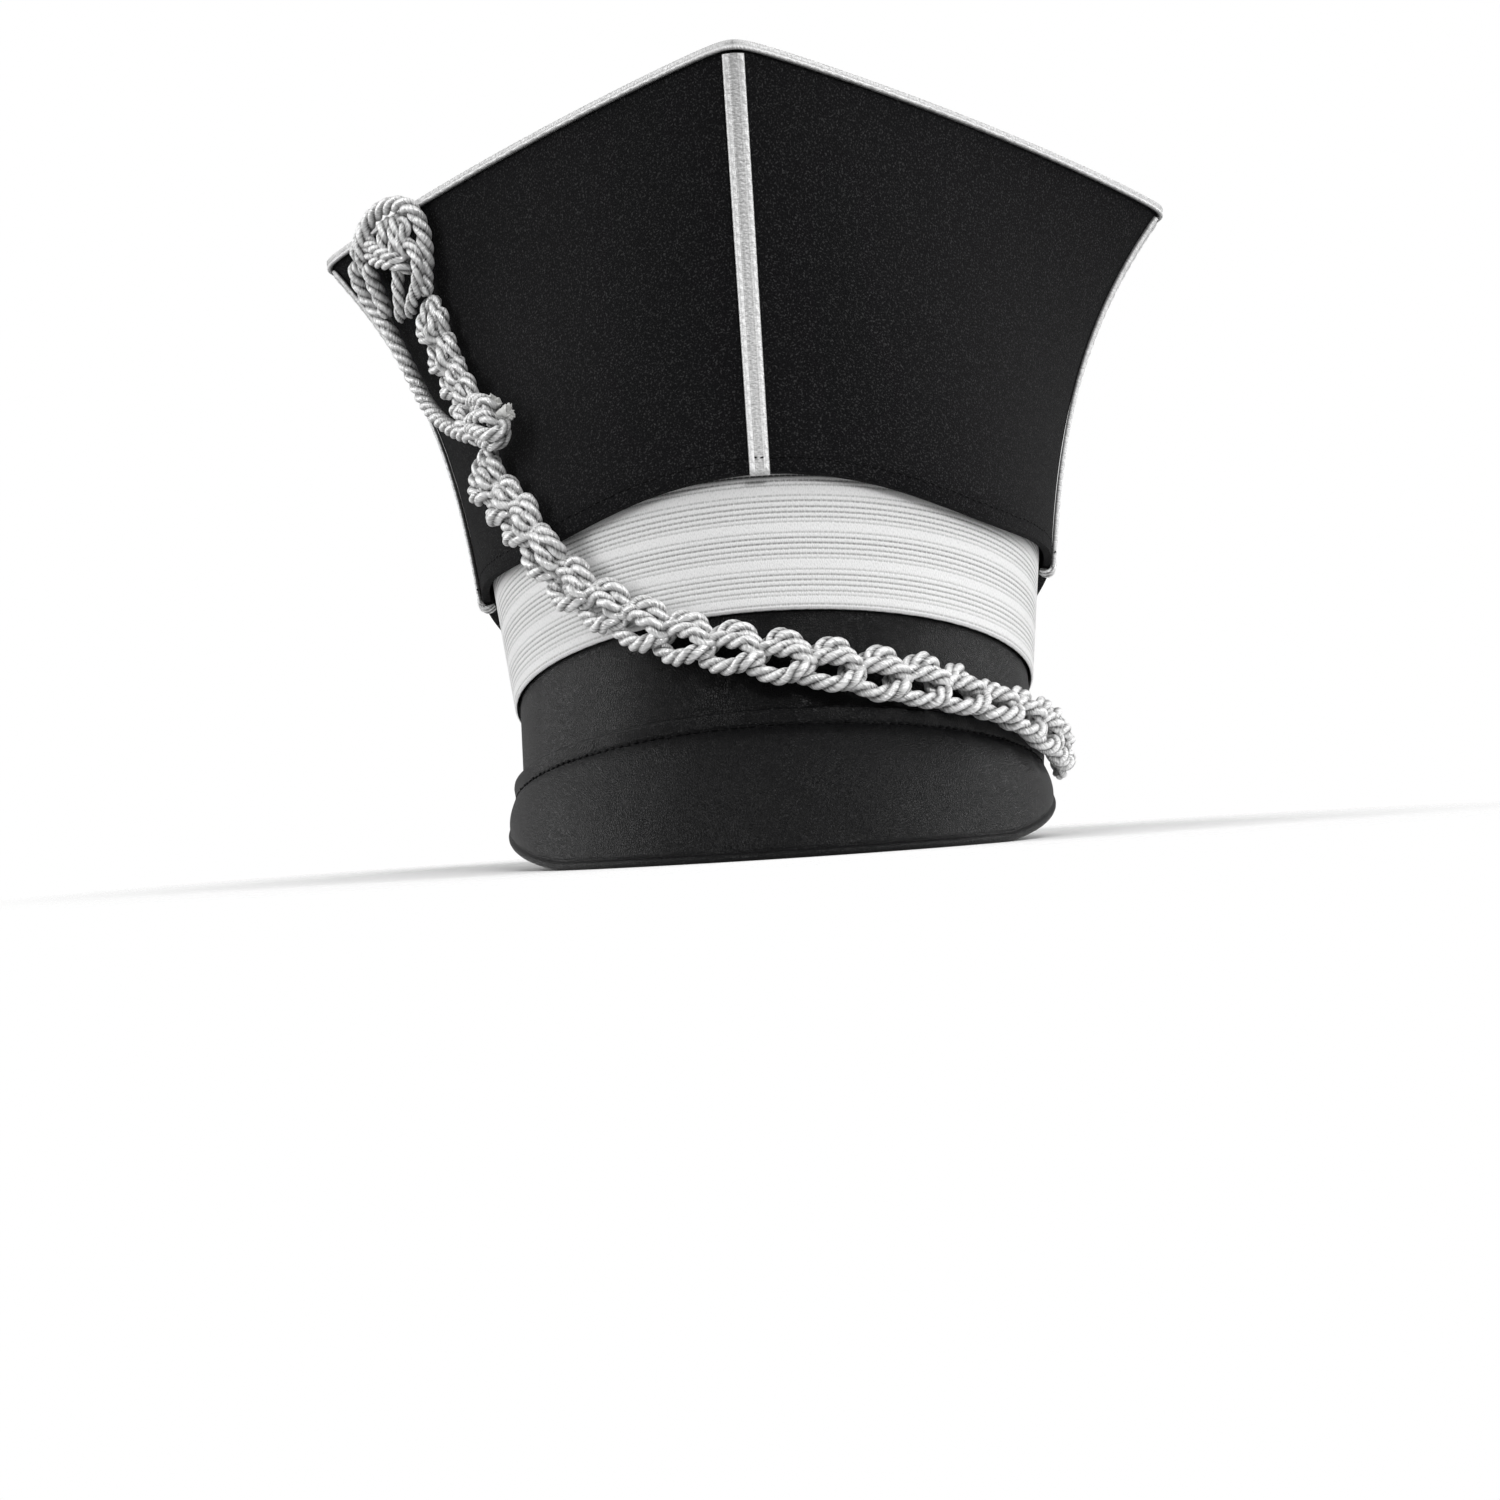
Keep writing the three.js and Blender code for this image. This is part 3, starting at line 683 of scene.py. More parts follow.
def seen(across, down, off):
    """The first point `off` mm off the cap on the camera's way to a pixel of a 1500-pixel frame, or the
    point nearest to the cap where the camera looks past it."""
    half = FRAME_PIXELS / 2
    wide = camera_data.sensor_width / camera_data.lens
    ray = Vector((((across - half) / FRAME_PIXELS + camera_data.shift_x) * wide,
                  ((half - down) / FRAME_PIXELS + camera_data.shift_y) * wide, -1))
    ray = (camera.matrix_world.to_3x3() @ ray).normalized()
    reach = SEARCH_START
    least, found = 1.0, None
    for _ in range(SEARCH_STEPS):
        spot = camera.matrix_world.translation + ray * reach
        gap = min(tree.find_nearest(spot)[3] for tree in carried_by) - off * MM
        if gap < least:
            least, found = gap, spot
        if gap < SEARCH_NEAR * MM:
            break
        reach += max(gap, SEARCH_LEAST * MM)
    return found


# The knot at the corner: its cords as they are seen from the front, each a row of pixel across, pixel
# down, and mm off the felt.
TOP_KNOT_CORDS = [
    [(389, 219, 4), (384, 228, 7), (383, 240, 8.5), (388, 254, 7), (392, 262, 4)],
    [(398, 215, 4), (394, 226, 8), (394, 240, 9), (395, 252, 9), (399, 262, 5)],
    [(403, 216, 4), (406, 226, 7), (402, 238, 8), (402, 250, 8), (408, 262, 5)],
    [(366, 236, 4), (373, 247, 8), (385, 254, 10), (398, 258, 9), (409, 256, 5)],
    [(366, 246, 4), (374, 260, 8), (388, 264, 9.5), (402, 266, 8), (412, 272, 5)],
    [(404, 240, 5), (411, 247, 8), (416, 258, 8.5), (418, 272, 8.5), (416, 288, 8), (412, 302, 7),
     (410, 316, 4.5)],
    [(398, 262, 6), (398, 276, 7), (398, 290, 7), (400, 306, 6.5), (401, 321, 4.5)],
    [(372, 222, 4), (364, 232, 7), (361, 246, 7), (362, 262, 6.5), (368, 276, 5)],
]
TOP_KNOT_CORD_DIAMETER = 4.4
top_knot_strands = [[seen(*row) for row in cord] for cord in TOP_KNOT_CORDS]
top_knot = twisted_cords("cap_line_top_knot_cords", top_knot_strands, TOP_KNOT_CORD_DIAMETER)
stands_for(top_knot, "cord", "cap_line_top_knot")

# The tied knot, written in the same way.
TIE_KNOT_CORDS = [
    [(470, 400, 3), (462, 408, 8), (460, 418, 10), (465, 430, 11), (475, 438, 10), (484, 443, 7)],
    [(466, 404, 5), (476, 400, 9), (486, 402, 10), (492, 409, 8), (494, 416, 4)],
    [(468, 428, 8), (472, 420, 12), (481, 416, 13), (490, 419, 12), (496, 426, 9)],
    [(468, 424, 9), (476, 431, 13), (488, 435, 13), (499, 432, 11), (504, 425, 8), (503, 420, 5)],
    [(478, 438, 7), (488, 444, 10), (498, 443, 9), (504, 436, 6), (503, 428, 3)],
    [(474, 412, 4), (480, 408, 8), (487, 411, 9), (490, 418, 6)],
]
TIE_KNOT_CORD_DIAMETER = 4.6
tie_knot_strands = [[seen(*row) for row in cord] for cord in TIE_KNOT_CORDS]
tie_knot = twisted_cords("cap_line_tie_knot_cords", tie_knot_strands, TIE_KNOT_CORD_DIAMETER)
stands_for(tie_knot, "cord", "cap_line_tie_knot")


# A cut end, in mm and in shares of its radius: its flutes, how uneven it is, how far threads stand out at
# its end, how flat it is and how deep its mouth.
CUT_END_STEP = 0.5
CUT_END_FLUTE = 0.14
CUT_END_UNEVEN = 0.06
CUT_END_RAGGED = 1.6
CUT_END_FLATNESS = 0.6
CUT_END_MOUTH = 0.8


def cut_end(name, points, root, mouth, node_name):
    """A cut end of the cord, from its radius at the root to that at its mouth: it flattens and frays."""
    line, _ = smooth_line(points, CUT_END_STEP * MM)
    build = bmesh.new()
    sides = 28
    rings = []
    for index, point in enumerate(line):
        share = index / (len(line) - 1)
        tangent = (line[min(index + 1, len(line) - 1)] - line[max(index - 1, 0)]).normalized()
        side = Vector((0, 1, 0)).cross(tangent).normalized()
        depth = tangent.cross(side)
        radius = (root + (mouth - root) * share ** 1.5) * MM
        ring = []
        for k in range(sides):
            angle = 2 * math.pi * k / sides
            flute = CUT_END_FLUTE * (1 if k % 2 else -1) * (0.3 + share)
            fray = 1 + flute + random.uniform(-CUT_END_UNEVEN, CUT_END_UNEVEN)
            ragged = tangent * random.uniform(0, CUT_END_RAGGED) * MM * share ** 6
            wide = side * math.cos(angle) * radius * fray
            deep = depth * math.sin(angle) * radius * CUT_END_FLATNESS * fray
            ring.append(build.verts.new(point + wide + deep + ragged))
        rings.append(ring)
    for ring, after in zip(rings, rings[1:]):
        for k in range(sides):
            nxt = (k + 1) % sides
            build.faces.new((ring[k], ring[nxt], after[nxt], after[k])).smooth = True
    build.faces.new(list(reversed(rings[0])))
    middle = build.verts.new(line[-1] - (line[-1] - line[-2]).normalized() * CUT_END_MOUTH * MM)
    for k in range(sides):
        build.faces.new((rings[-1][k], rings[-1][(k + 1) % sides], middle))
    piece = finished(name, build, CUT_THREADS)
    stands_for(piece, "cord", node_name)
    return piece


UPPER_CUT_END = [(488, 416, 6), (491, 409, 7), (495, 401, 7.5)]
LOWER_CUT_END = [(493, 424, 6), (501, 417, 7), (509, 412, 7.5)]
CUT_END_ROOT = 1.7
cut_ends = [
    cut_end("cap_line_cut_end_upper_threads", [seen(*row) for row in UPPER_CUT_END], CUT_END_ROOT, 2.2,
            "cap_line_cut_end_upper"),
    cut_end("cap_line_cut_end_lower_threads", [seen(*row) for row in LOWER_CUT_END], CUT_END_ROOT, 2.4,
            "cap_line_cut_end_lower"),
]

# The little loop at the plait's right end, in millimetres, behind the last stitch.
END_LOOP = [
    (91.8, -39, 28.6), (92.2, -33.5, 29.4), (91.9, -27.5, 31), (91.6, -22.2, 28.8), (91.5, -20.2, 24.8),
    (91.7, -22.4, 20.8), (92.2, -27.6, 19.8), (92.4, -32.5, 22.4), (91.8, -38.5, 25.5),
]
END_LOOP_CORD_DIAMETER = 4.2
end_loop = twisted_cords("cap_line_end_loop_cord", [[Vector(row) * MM for row in END_LOOP]],
                         END_LOOP_CORD_DIAMETER)
stands_for(end_loop, "cord", "cap_line_end_loop")


def oval(out, angle, height):
    """The head oval grown outwards, at an angle from the front towards the right."""
    return (OUTER_WIDTH + out) * math.sin(angle), -(OUTER_DEPTH + out) * math.cos(angle), height


def rim_height(y):
    return -BAND_HEIGHT + RIM_SLOPE * y


def band_growth(height):
    return LACE_FLARE * max(0, height)


def along_rows(rows, share):
    """The value at a share of the way through a list of rows, straight between them."""
    place = share * (len(rows) - 1)
    low = min(int(place), len(rows) - 2)
    part = place - low
    return tuple(a + (b - a) * part for a, b in zip(rows[low], rows[low + 1]))


# The band's section from the rim, up the outside and down the inside: distance out of the leather's
# face, and height counted from the rim or from the lace's lower edge.
BAND_SECTION = [
    ("rim", -1.5, 0.0), ("rim", -0.7, 0.05), ("rim", -0.2, 0.35), ("rim", 0.0, 1.0), ("rim", 0.0, 8.0),
    ("lace", 0.0, -16.0), ("lace", 0.0, -8.0), ("lace", 0.0, 0.0), ("lace", 0.0, 20.0), ("lace", 0.0, 47.0),
    ("lace", -0.8, 48.0), ("lace", -2.2, 48.0), ("lace", -3.0, 47.0), ("lace", -3.0, 20.0),
    ("lace", -3.0, 0.0),
    ("rim", -3.0, 8.0), ("rim", -3.0, 1.0), ("rim", -2.8, 0.35), ("rim", -2.3, 0.05), ("rim", -1.5, 0.0),
]
BAND_COLUMNS = 240


def band_point(u, v):
    kind, out, level = BAND_SECTION[round(v * (len(BAND_SECTION) - 1))]
    angle = 2 * math.pi * u
    if kind == "rim":
        x, y, _ = oval(out, angle, 0)
        return stand(x, y, rim_height(y) + level)
    return stand(*oval(out + band_growth(level), angle, level))


head_band = rolled("head_band_leather", BAND_COLUMNS, len(BAND_SECTION) - 1, band_point, LEATHER,
                   closed=True)
stands_for(head_band, "leather", "head_band")

# The lace's grooves, counted in rib pitches down from its top: place, and a weight for how deep the groove
# is cut and how much painted shade it takes.
LACE_GROOVES = [
    (0.8, 1.0), (1.8, 0.9), (2.8, 0.55), (3.65, 0.35), (5.65, 0.3), (6.65, 0.5), (7.8, 0.55), (8.8, 0.55),
    (9.8, 0.5), (10.65, 0.3), (12.7, 0.3), (13.7, 0.5), (14.7, 0.55), (15.75, 0.5), (16.75, 0.5),
    (17.6, 0.3), (19.7, 0.25), (20.7, 0.45), (21.7, 0.45), (22.7, 0.45), (23.8, 0.4), (24.6, 0.25),
    (26.3, 0.4),
]
GROOVE_HALF_WIDTH = 0.3
GROOVE_DEPTH = 0.45
# how strongly a groove's depth is turned into painted shade
GROOVE_SHADE_STRENGTH = 1.3
LACE_ROWS_PER_PITCH = 6
LACE_FACE_ROWS = round(LACE_HEIGHT / RIB_PITCH * LACE_ROWS_PER_PITCH)
LACE_BACK_ROWS = 4
# the lace's back is painted this far from dark, as shade
LACE_BACK_SHADE = 0.3
LACE_ROWS = LACE_FACE_ROWS + LACE_BACK_ROWS
LACE_COLUMNS = 380
# the lace thins to this share of its thickness over its outermost rows
LACE_EDGE_SHARE = 0.55
LACE_EDGE_ROWS = 3


def groove_at(height):
    """How deep in a groove a height on the lace is, from 0 on a rib to 1."""
    pitches = (LACE_HEIGHT - height) / RIB_PITCH
    best = 0.0
    for place, dark in LACE_GROOVES:
        near = 1 - abs(pitches - place) / GROOVE_HALF_WIDTH
        if near > 0:
            best = max(best, near * dark)
    return best


def lace_level(v):
    """Height and stand of the lace's section at a share of the way up its face and down its back."""
    row = round(v * LACE_ROWS)
    if row <= LACE_FACE_ROWS:
        height = LACE_HEIGHT * row / LACE_FACE_ROWS
        edge = min(1.0, row / LACE_EDGE_ROWS, (LACE_FACE_ROWS - row) / LACE_EDGE_ROWS)
        thick = LACE_EDGE_SHARE + (1 - LACE_EDGE_SHARE) * edge
        return height, SEAM + LACE_THICKNESS * thick - GROOVE_DEPTH * groove_at(height)
    share = (row - LACE_FACE_ROWS) / LACE_BACK_ROWS
    if share == 1:
        return 0.0, SEAM + LACE_THICKNESS * LACE_EDGE_SHARE
    return LACE_HEIGHT * (1 - share), SEAM


def lace_point(u, v):
    height, stand_off = lace_level(v)
    return stand(*oval(stand_off + band_growth(height), 2 * math.pi * u, height))


# painted shade on the lace: darker in its grooves and on its back
def lace_shade(u, v):
    row = round(v * LACE_ROWS)
    if row > LACE_FACE_ROWS:
        return LACE_BACK_SHADE
    height = LACE_HEIGHT * row / LACE_FACE_ROWS
    return 1 - min(1, GROOVE_SHADE_STRENGTH * groove_at(height))


LACE_GIRTH = 610
lace = rolled("lace_ribs", LACE_COLUMNS, LACE_ROWS, lace_point, LACE, closed=True, groove=lace_shade,
              measure=(LACE_GIRTH, LACE_HEIGHT * LACE_ROWS / LACE_FACE_ROWS))
stands_for(lace, "lace", "lace_band")

CROWN_OUT = SEAM + LACE_THICKNESS + band_growth(LACE_HEIGHT) + CROWN_EASE + FELT_THICKNESS
RIDGE_BOTTOM_FRONT = OUTER_DEPTH + CROWN_OUT
RIDGE_BOTTOM_SIDE = OUTER_WIDTH + CROWN_OUT + SIDE_RIDGE_STAND
# a small step along the crown's face, as a share, to take its slope from
FACE_STEP = 0.001


def ridge_radius(bottom, share):
    """The ridge's distance from the crown's middle, at a share of its height."""
    even = RIDGE_RISE * share
    swept = (1 - RIDGE_RISE) * max(0, share) ** RIDGE_SWEEP
    return bottom + (CROWN_HALF_DIAGONAL - bottom) * (even + swept)


def rounded_share(along, rounding):
    """A share that starts off level instead of at a corner."""
    whole = math.sqrt(1 + rounding * rounding) - rounding
    return (math.sqrt(along * along + rounding * rounding) - rounding) / whole


def crown_point(place, share):
    """The crown's face. place counts corners: 0 front, 1 right, 2 back, 3 left; share is the height's."""
    turn = place % 4
    quarter = int(turn)
    along = turn - quarter if quarter % 2 == 0 else quarter + 1 - turn
    dip = CROWN_DIP * math.sin(math.pi * along ** CROWN_DIP_SKEW) ** 2 * (1 - share) ** 2
    level = share - dip / CROWN_HEIGHT
    side = ridge_radius(RIDGE_BOTTOM_SIDE, level)
    front = ridge_radius(RIDGE_BOTTOM_FRONT, level)
    flat = PANEL_FLATNESS * max(0, level)
    rounding = RIDGE_ROUND / CROWN_HALF_DIAGONAL
    arc = along * math.pi / 2
    x = (1 - flat) * math.sin(arc) + flat * (1 - rounded_share(1 - along, rounding))
    y = (1 - flat) * math.cos(arc) + flat * (1 - rounded_share(along, rounding))
    right = 1 if quarter < 2 else -1
    back = 1 if quarter in (1, 2) else -1
    return Vector((right * side * x, back * front * y, CROWN_BOTTOM + CROWN_HEIGHT * level))


def round_crown(place, share):
    """A short way round the crown's face."""
    return crown_point(place + FACE_STEP, share) - crown_point(place - FACE_STEP, share)


def crown_normal(place, share):
    level = max(share, FACE_STEP)
    up = crown_point(place, level + FACE_STEP) - crown_point(place, level - FACE_STEP)
    return round_crown(place, level).cross(up).normalized()


def spaced(share):
    """Columns lie closer together towards a panel's two ends, where the felt bends most."""
    return (1 - math.cos(math.pi * share)) / 2


# the panels end this share short of the ridges
PANEL_SHORT = 0.003
PANEL_GRID = (72, 48)
FELT_EDGE_ROUND = 0.5


def panel_point(quarter):
    def place(u, v):
        return stand(*crown_point(quarter + PANEL_SHORT + (1 - 2 * PANEL_SHORT) * spaced(u), v))
    return place


PANELS = (
    "crown_panel_front_right", "crown_panel_back_right", "crown_panel_back_left", "crown_panel_front_left",
)
for quarter, panel_name in enumerate(PANELS):
    panel = rolled(panel_name + "_felt", *PANEL_GRID, panel_point(quarter), FELT)
    finish_modifier(panel, "SOLIDIFY", thickness=FELT_THICKNESS * MM, offset=-1.0)
    finish_modifier(panel, "BEVEL", width=FELT_EDGE_ROUND * MM, segments=2, limit_method="ANGLE",
                    angle_limit=math.radians(60))
    bpy.ops.object.shade_smooth_by_angle(angle=math.radians(40))
    stands_for(panel, "felt", panel_name)

TOP_GRID = (160, 24)
TOP_THICKNESS = 2.0
TOP_SINK = 0.2
TOP_EASE = 1


def top_point(u, v):
    """The flat top, from its middle outwards, sunk a little below the edge."""
    edge = crown_point(4 * u, 1)
    rim = Vector((edge.x, edge.y, 0))
    reach = rim.length - FELT_THICKNESS - SEAM - TOP_EASE
    spot = rim.normalized() * reach * v
    return stand(spot.x, spot.y, edge.z - TOP_SINK)


crown_top = rolled("crown_top_felt", *TOP_GRID, top_point, FELT, closed=True)
finish_modifier(crown_top, "SOLIDIFY", thickness=TOP_THICKNESS * MM, offset=-1.0)
stands_for(crown_top, "felt", "crown_top")


# The braid: two raised cords of wound thread, with a sunk woven middle between them. The places across it
# are shares of its half width.
BRAID_TWIST = 3.4
BRAID_SLANT = 0.35
BRAID_TWIST_HEIGHT = 0.09
BRAID_CORD_MIDDLE = 0.67
BRAID_CORD_HALF = 0.32
BRAID_EDGE_HEIGHT = 0.45
BRAID_MIDDLE_SINK = 0.25
BRAID_RIB_PITCH = 1.5
BRAID_RIB_SLANT = 1.2
BRAID_RIB_HEIGHT = 0.08
# the braid's painted shade, as how far from dark it is: at the foot of its cords, in its sunk middle, and
# at its edge and underside
BRAID_FOOT_SHADE = 0.35
BRAID_MIDDLE_SHADE = 0.75
BRAID_EDGE_SHADE = 0.2
# rows round the braid's section
BRAID_ROWS = 40


def braid_height(across, along):
    """Height over the felt at a share across the braid (-1 to 1) and a distance along it in mm."""
    away = (abs(across) - BRAID_CORD_MIDDLE) / BRAID_CORD_HALF
    if abs(away) < 1:
        round_top = math.sqrt(1 - away * away)
        turns = along / BRAID_TWIST + away * BRAID_SLANT * math.copysign(1, across)
        twist = BRAID_TWIST_HEIGHT * math.sin(2 * math.pi * turns)
        return BRAID_EDGE_HEIGHT + (TRIM_CORD_HEIGHT - BRAID_EDGE_HEIGHT + twist) * round_top
    if away >= 1:
        edge = 1 - BRAID_CORD_MIDDLE - BRAID_CORD_HALF
        return BRAID_EDGE_HEIGHT * max(0, (1 - abs(across)) / (edge + 0.001))
    rib = math.sin(2 * math.pi * (along / BRAID_RIB_PITCH + abs(across) * BRAID_RIB_SLANT))
    return TRIM_MIDDLE_HEIGHT - BRAID_MIDDLE_SINK + BRAID_RIB_HEIGHT * rib


# painted shade across the braid: darker at the foot of each cord, in the sunk middle and at the edges
def braid_shade(across):
    away = abs(abs(across) - BRAID_CORD_MIDDLE) / BRAID_CORD_HALF
    if away < 1:
        return BRAID_FOOT_SHADE + (1 - BRAID_FOOT_SHADE) * math.sqrt(1 - away * away)
    return BRAID_MIDDLE_SHADE if abs(across) < BRAID_CORD_MIDDLE else BRAID_EDGE_SHADE


# the braid's underside takes the last part of the way round its section
BRAID_TURN = 0.94


def braid_across(v):
    """Share across the braid, and whether the point is on its face, at a share round its section."""
    if v <= BRAID_TURN:
        return -1 + 2 * v / BRAID_TURN, True
    return 1 - 2 * (v - BRAID_TURN) / (1 - BRAID_TURN), False


# the ridge braid ends this far below the felt, and rounds down to the felt over this much of its end
TRIM_OVERHANG = 1.0
TRIM_END_ROUND = 2.0
RIDGE_TRIM_BOTTOM = -TRIM_OVERHANG / CROWN_HEIGHT
RIDGE_TRIM_TOP = 1 - (TRIM_ON_SIDE + 2 * SEAM) / CROWN_HEIGHT
RIDGE_TRIM_COLUMNS = 260
WALK_TRIES = 3
WALK_PIECES = 6
NO_DISTANCE = 1e-6


def beside_ridge(ridge, distance, share):
    """The place on the crown's face at a distance round from a ridge, at a height share."""
    near = crown_point(ridge + FACE_STEP, share) - crown_point(ridge, share)
    place = ridge + distance / near.length * FACE_STEP
    for _ in range(WALK_TRIES):
        walked = 0.0
        last = crown_point(ridge, share)
        for k in range(1, WALK_PIECES + 1):
            nxt = crown_point(ridge + (place - ridge) * k / WALK_PIECES, share)
            walked += (nxt - last).length
            last = nxt
        if walked < NO_DISTANCE:
            break
        place = ridge + (place - ridge) * abs(distance) / walked
    return place


def ridge_trim_point(ridge):
    cache = {}

    def place(u, v):
        across, on_face = braid_across(v)
        share = RIDGE_TRIM_BOTTOM + (RIDGE_TRIM_TOP - RIDGE_TRIM_BOTTOM) * u
        key = (round(u, 5), round(across, 3))
        if key not in cache:
            spot = beside_ridge(ridge, across * TRIM_WIDTH / 2, share)
            cache[key] = (crown_point(spot, share), crown_normal(spot, share))
        point, normal = cache[key]
        along = share * CROWN_HEIGHT
        end = min(1.0, (along + TRIM_OVERHANG) / TRIM_END_ROUND)
        rounding = math.sqrt(max(0.0, 1 - (1 - end) ** 2))
        height = braid_height(across, along) * rounding if on_face else 0.0
        return stand(*(point + normal * (SEAM + height)))
    return place


# the braid's painted shade, with its underside painted dark
def trim_shade(u, v):
    across, on_face = braid_across(v)
    return braid_shade(across) if on_face else BRAID_EDGE_SHADE


RIDGES = ("ridge_trim_front", "ridge_trim_right", "ridge_trim_back", "ridge_trim_left")
for ridge, trim_name in enumerate(RIDGES):
    trim = rolled(trim_name + "_braid", RIDGE_TRIM_COLUMNS, BRAID_ROWS, ridge_trim_point(ridge), BRAID,
                  closed=True, groove=trim_shade, measure=(CROWN_HEIGHT, TRIM_WIDTH))
    stands_for(trim, "braid", trim_name)

# The side ridges' braid is folded in under the crown's lower corner, up to the lace. Each row is mm out
# from the ridge and mm up from the crown's lower edge.
BRAID_FOLD = [(0.9, 2.5), (1.1, 0.4), (0.6, -1.1), (-0.6, -1.9), (-2.2, -1.8), (-3.7, -1.1)]
BRAID_FOLD_DIAMETER = 2.2
folds = []
for ridge in (1, 3):
    corner = crown_point(ridge, 0)
    hand = math.copysign(1, corner.x)
    for beside in (-TRIM_WIDTH / 4, TRIM_WIDTH / 4):
        folds.append([stand(corner.x + out * hand, beside, corner.z + up) for out, up in BRAID_FOLD])
braid_folds = twisted_cords("side_ridge_braid_folds", folds, BRAID_FOLD_DIAMETER)
stands_for(braid_folds, "braid")

TOP_EDGE_LENGTH = 800
TOP_TRIM_COLUMNS = 1600
# the way down the crown's side is taken from here
BELOW_EDGE = 0.94


def top_trim_point(u, v):
    """The braid folded over the top edge, one cord on the crown's side and one on its top."""
    across, on_face = braid_across(v)
    # places are closer together at the corners
    quarter = int(4 * u) % 4
    place = quarter + spaced(4 * u - int(4 * u)) if u < 1 else 4
    edge = crown_point(place, 1)
    down = (crown_point(place, BELOW_EDGE) - edge).normalized()
    side = down.cross(round_crown(place, 1)).normalized()
    inwards = Vector((-side.x, -side.y, 0)).normalized()
    up = Vector((0, 0, 1))
    along = u * TOP_EDGE_LENGTH
    height = SEAM + (braid_height(across, along) if on_face else 0.0)
    # round the fold, in the middle half of the braid, the way out swings from the side to the top
    swing = (max(-1.0, min(1.0, across * 2)) + 1) / 2
    out = side.lerp(up, swing).normalized()
    away = inwards if across > 0 else down
    reach = TRIM_WIDTH - TRIM_ON_SIDE if across > 0 else TRIM_ON_SIDE
    return stand(*(edge + away * abs(across) * reach + out * height))


top_trim = rolled("top_edge_trim_braid", TOP_TRIM_COLUMNS, BRAID_ROWS, top_trim_point, BRAID, closed=True,
                  groove=trim_shade, measure=(TOP_EDGE_LENGTH, TRIM_WIDTH))
stands_for(top_trim, "braid", "top_edge_trim")


# The peak.
FRONT_RIM = rim_height(-OUTER_DEPTH)
PEAK_TIP_REACH = PEAK_LENGTH - PEAK_COLLAR
PEAK_OUT = SEAM + PEAK_THICKNESS
REST_FRONT = (
    -(OUTER_DEPTH + PEAK_OUT + PEAK_TIP_REACH * math.sin(math.radians(PEAK_FLARE_FRONT))),
    FRONT_RIM + PEAK_ABOVE_RIM - PEAK_COLLAR - PEAK_TIP_REACH * math.cos(math.radians(PEAK_FLARE_FRONT)),
)
REST_BACK = (OUTER_DEPTH, rim_height(OUTER_DEPTH))
REST_SLOPE = (REST_BACK[1] - REST_FRONT[1]) / (REST_BACK[0] - REST_FRONT[0])


def rest_height(y):
    return REST_BACK[1] + REST_SLOPE * (y - REST_BACK[0])


def stitch_line_height(angle):
    return rim_height(oval(0, angle, 0)[1]) + PEAK_ABOVE_RIM - PEAK_COLLAR


# the peak's columns are closer together at its rounded corners: the power of that spacing
PEAK_SPACING = 1.35
PEAK_COLUMNS = 240


def peak_reach(out, angle, flare):
    """Length of the peak below its stitch line, to the plane that it rests on."""
    start_y = oval(out, angle, 0)[1]
    fall = math.cos(flare) - REST_SLOPE * math.sin(flare) * math.cos(angle)
    to_plane = (stitch_line_height(angle) - rest_height(start_y)) / fall
    turn = abs(math.degrees(angle))
    rising = max(0, (turn - PEAK_REST_HALF_SPAN) / (PEAK_HALF_SPAN - PEAK_REST_HALF_SPAN))
    cornering = max(0, (turn - PEAK_HALF_SPAN + PEAK_CORNER_SPAN) / PEAK_CORNER_SPAN)
    corner = PEAK_CORNER_ROUND * (1 - math.sqrt(max(0, 1 - cornering * cornering)))
    return to_plane - PEAK_END_LIFT * rising ** PEAK_END_SWEEP - corner


def peak_flare(angle):
    side = math.sin(angle) ** 2
    return math.radians(PEAK_FLARE_FRONT * (1 - side) + PEAK_FLARE_SIDE * side)


def peak_point(out, angle, down, raised):
    flare = peak_flare(angle)
    reach = peak_reach(out, angle, flare)
    share = max(0, down / reach)
    bulge = 4 * PEAK_CROWN * share * (1 - share)
    away = math.sin(flare) * max(0, down) + bulge + raised
    fall = math.cos(flare) * down if down > 0 else down
    return oval(out + away, angle, stitch_line_height(angle) - fall)


# The peak's section, down its face, round the beaded edge and up its underside. "fold" counts mm down
# from the folded edge, "body" is a share of the plain part, "bead" counts mm from its groove down. Then
# come 0 for the face or 1 for the underside, and the mm that the leather stands up there.
PEAK_SECTION = [
    ("fold", 0.9, 0.0, -0.9), ("fold", 0.3, 0.0, -0.3), ("fold", 0.0, 0.0, -0.05),
    ("fold", 0.25, 0.0, 0.25), ("fold", 0.9, 0.0, 0.35), ("fold", 2.0, 0.0, 0.2), ("fold", 3.6, 0.0, 0.0),
    ("fold", 4.5, 0.0, -0.15), ("fold", 5.0, 0.0, -0.7), ("fold", 5.5, 0.0, -0.15),
    *[("body", share, 0.0, 0.0) for share in (0.12, 0.2, 0.3, 0.4, 0.5, 0.6, 0.7, 0.8, 0.9, 0.97)],
    ("bead", -0.5, 0.0, -0.05), ("bead", -0.1, 0.0, -0.35), ("bead", 0.25, 0.0, -0.1),
    ("bead", 0.7, 0.0, 0.5), ("bead", 1.2, 0.0, 0.85), ("bead", 1.8, 0.0, 0.9), ("bead", 2.4, 0.0, 0.65),
    ("bead", 2.8, 0.0, 0.2), ("bead", 3.0, 0.0, -0.5),
    ("bead", 3.0, 1.0, 0.45), ("bead", 2.7, 1.0, 0.05), ("bead", 1.5, 1.0, 0.0),
    *[("body", share, 1.0, 0.0) for share in (0.95, 0.7, 0.45, 0.2)],
    ("fold", 5.0, 1.0, 0.0), ("fold", 2.0, 1.0, 0.0), ("fold", 0.9, 0.0, -0.9),
]


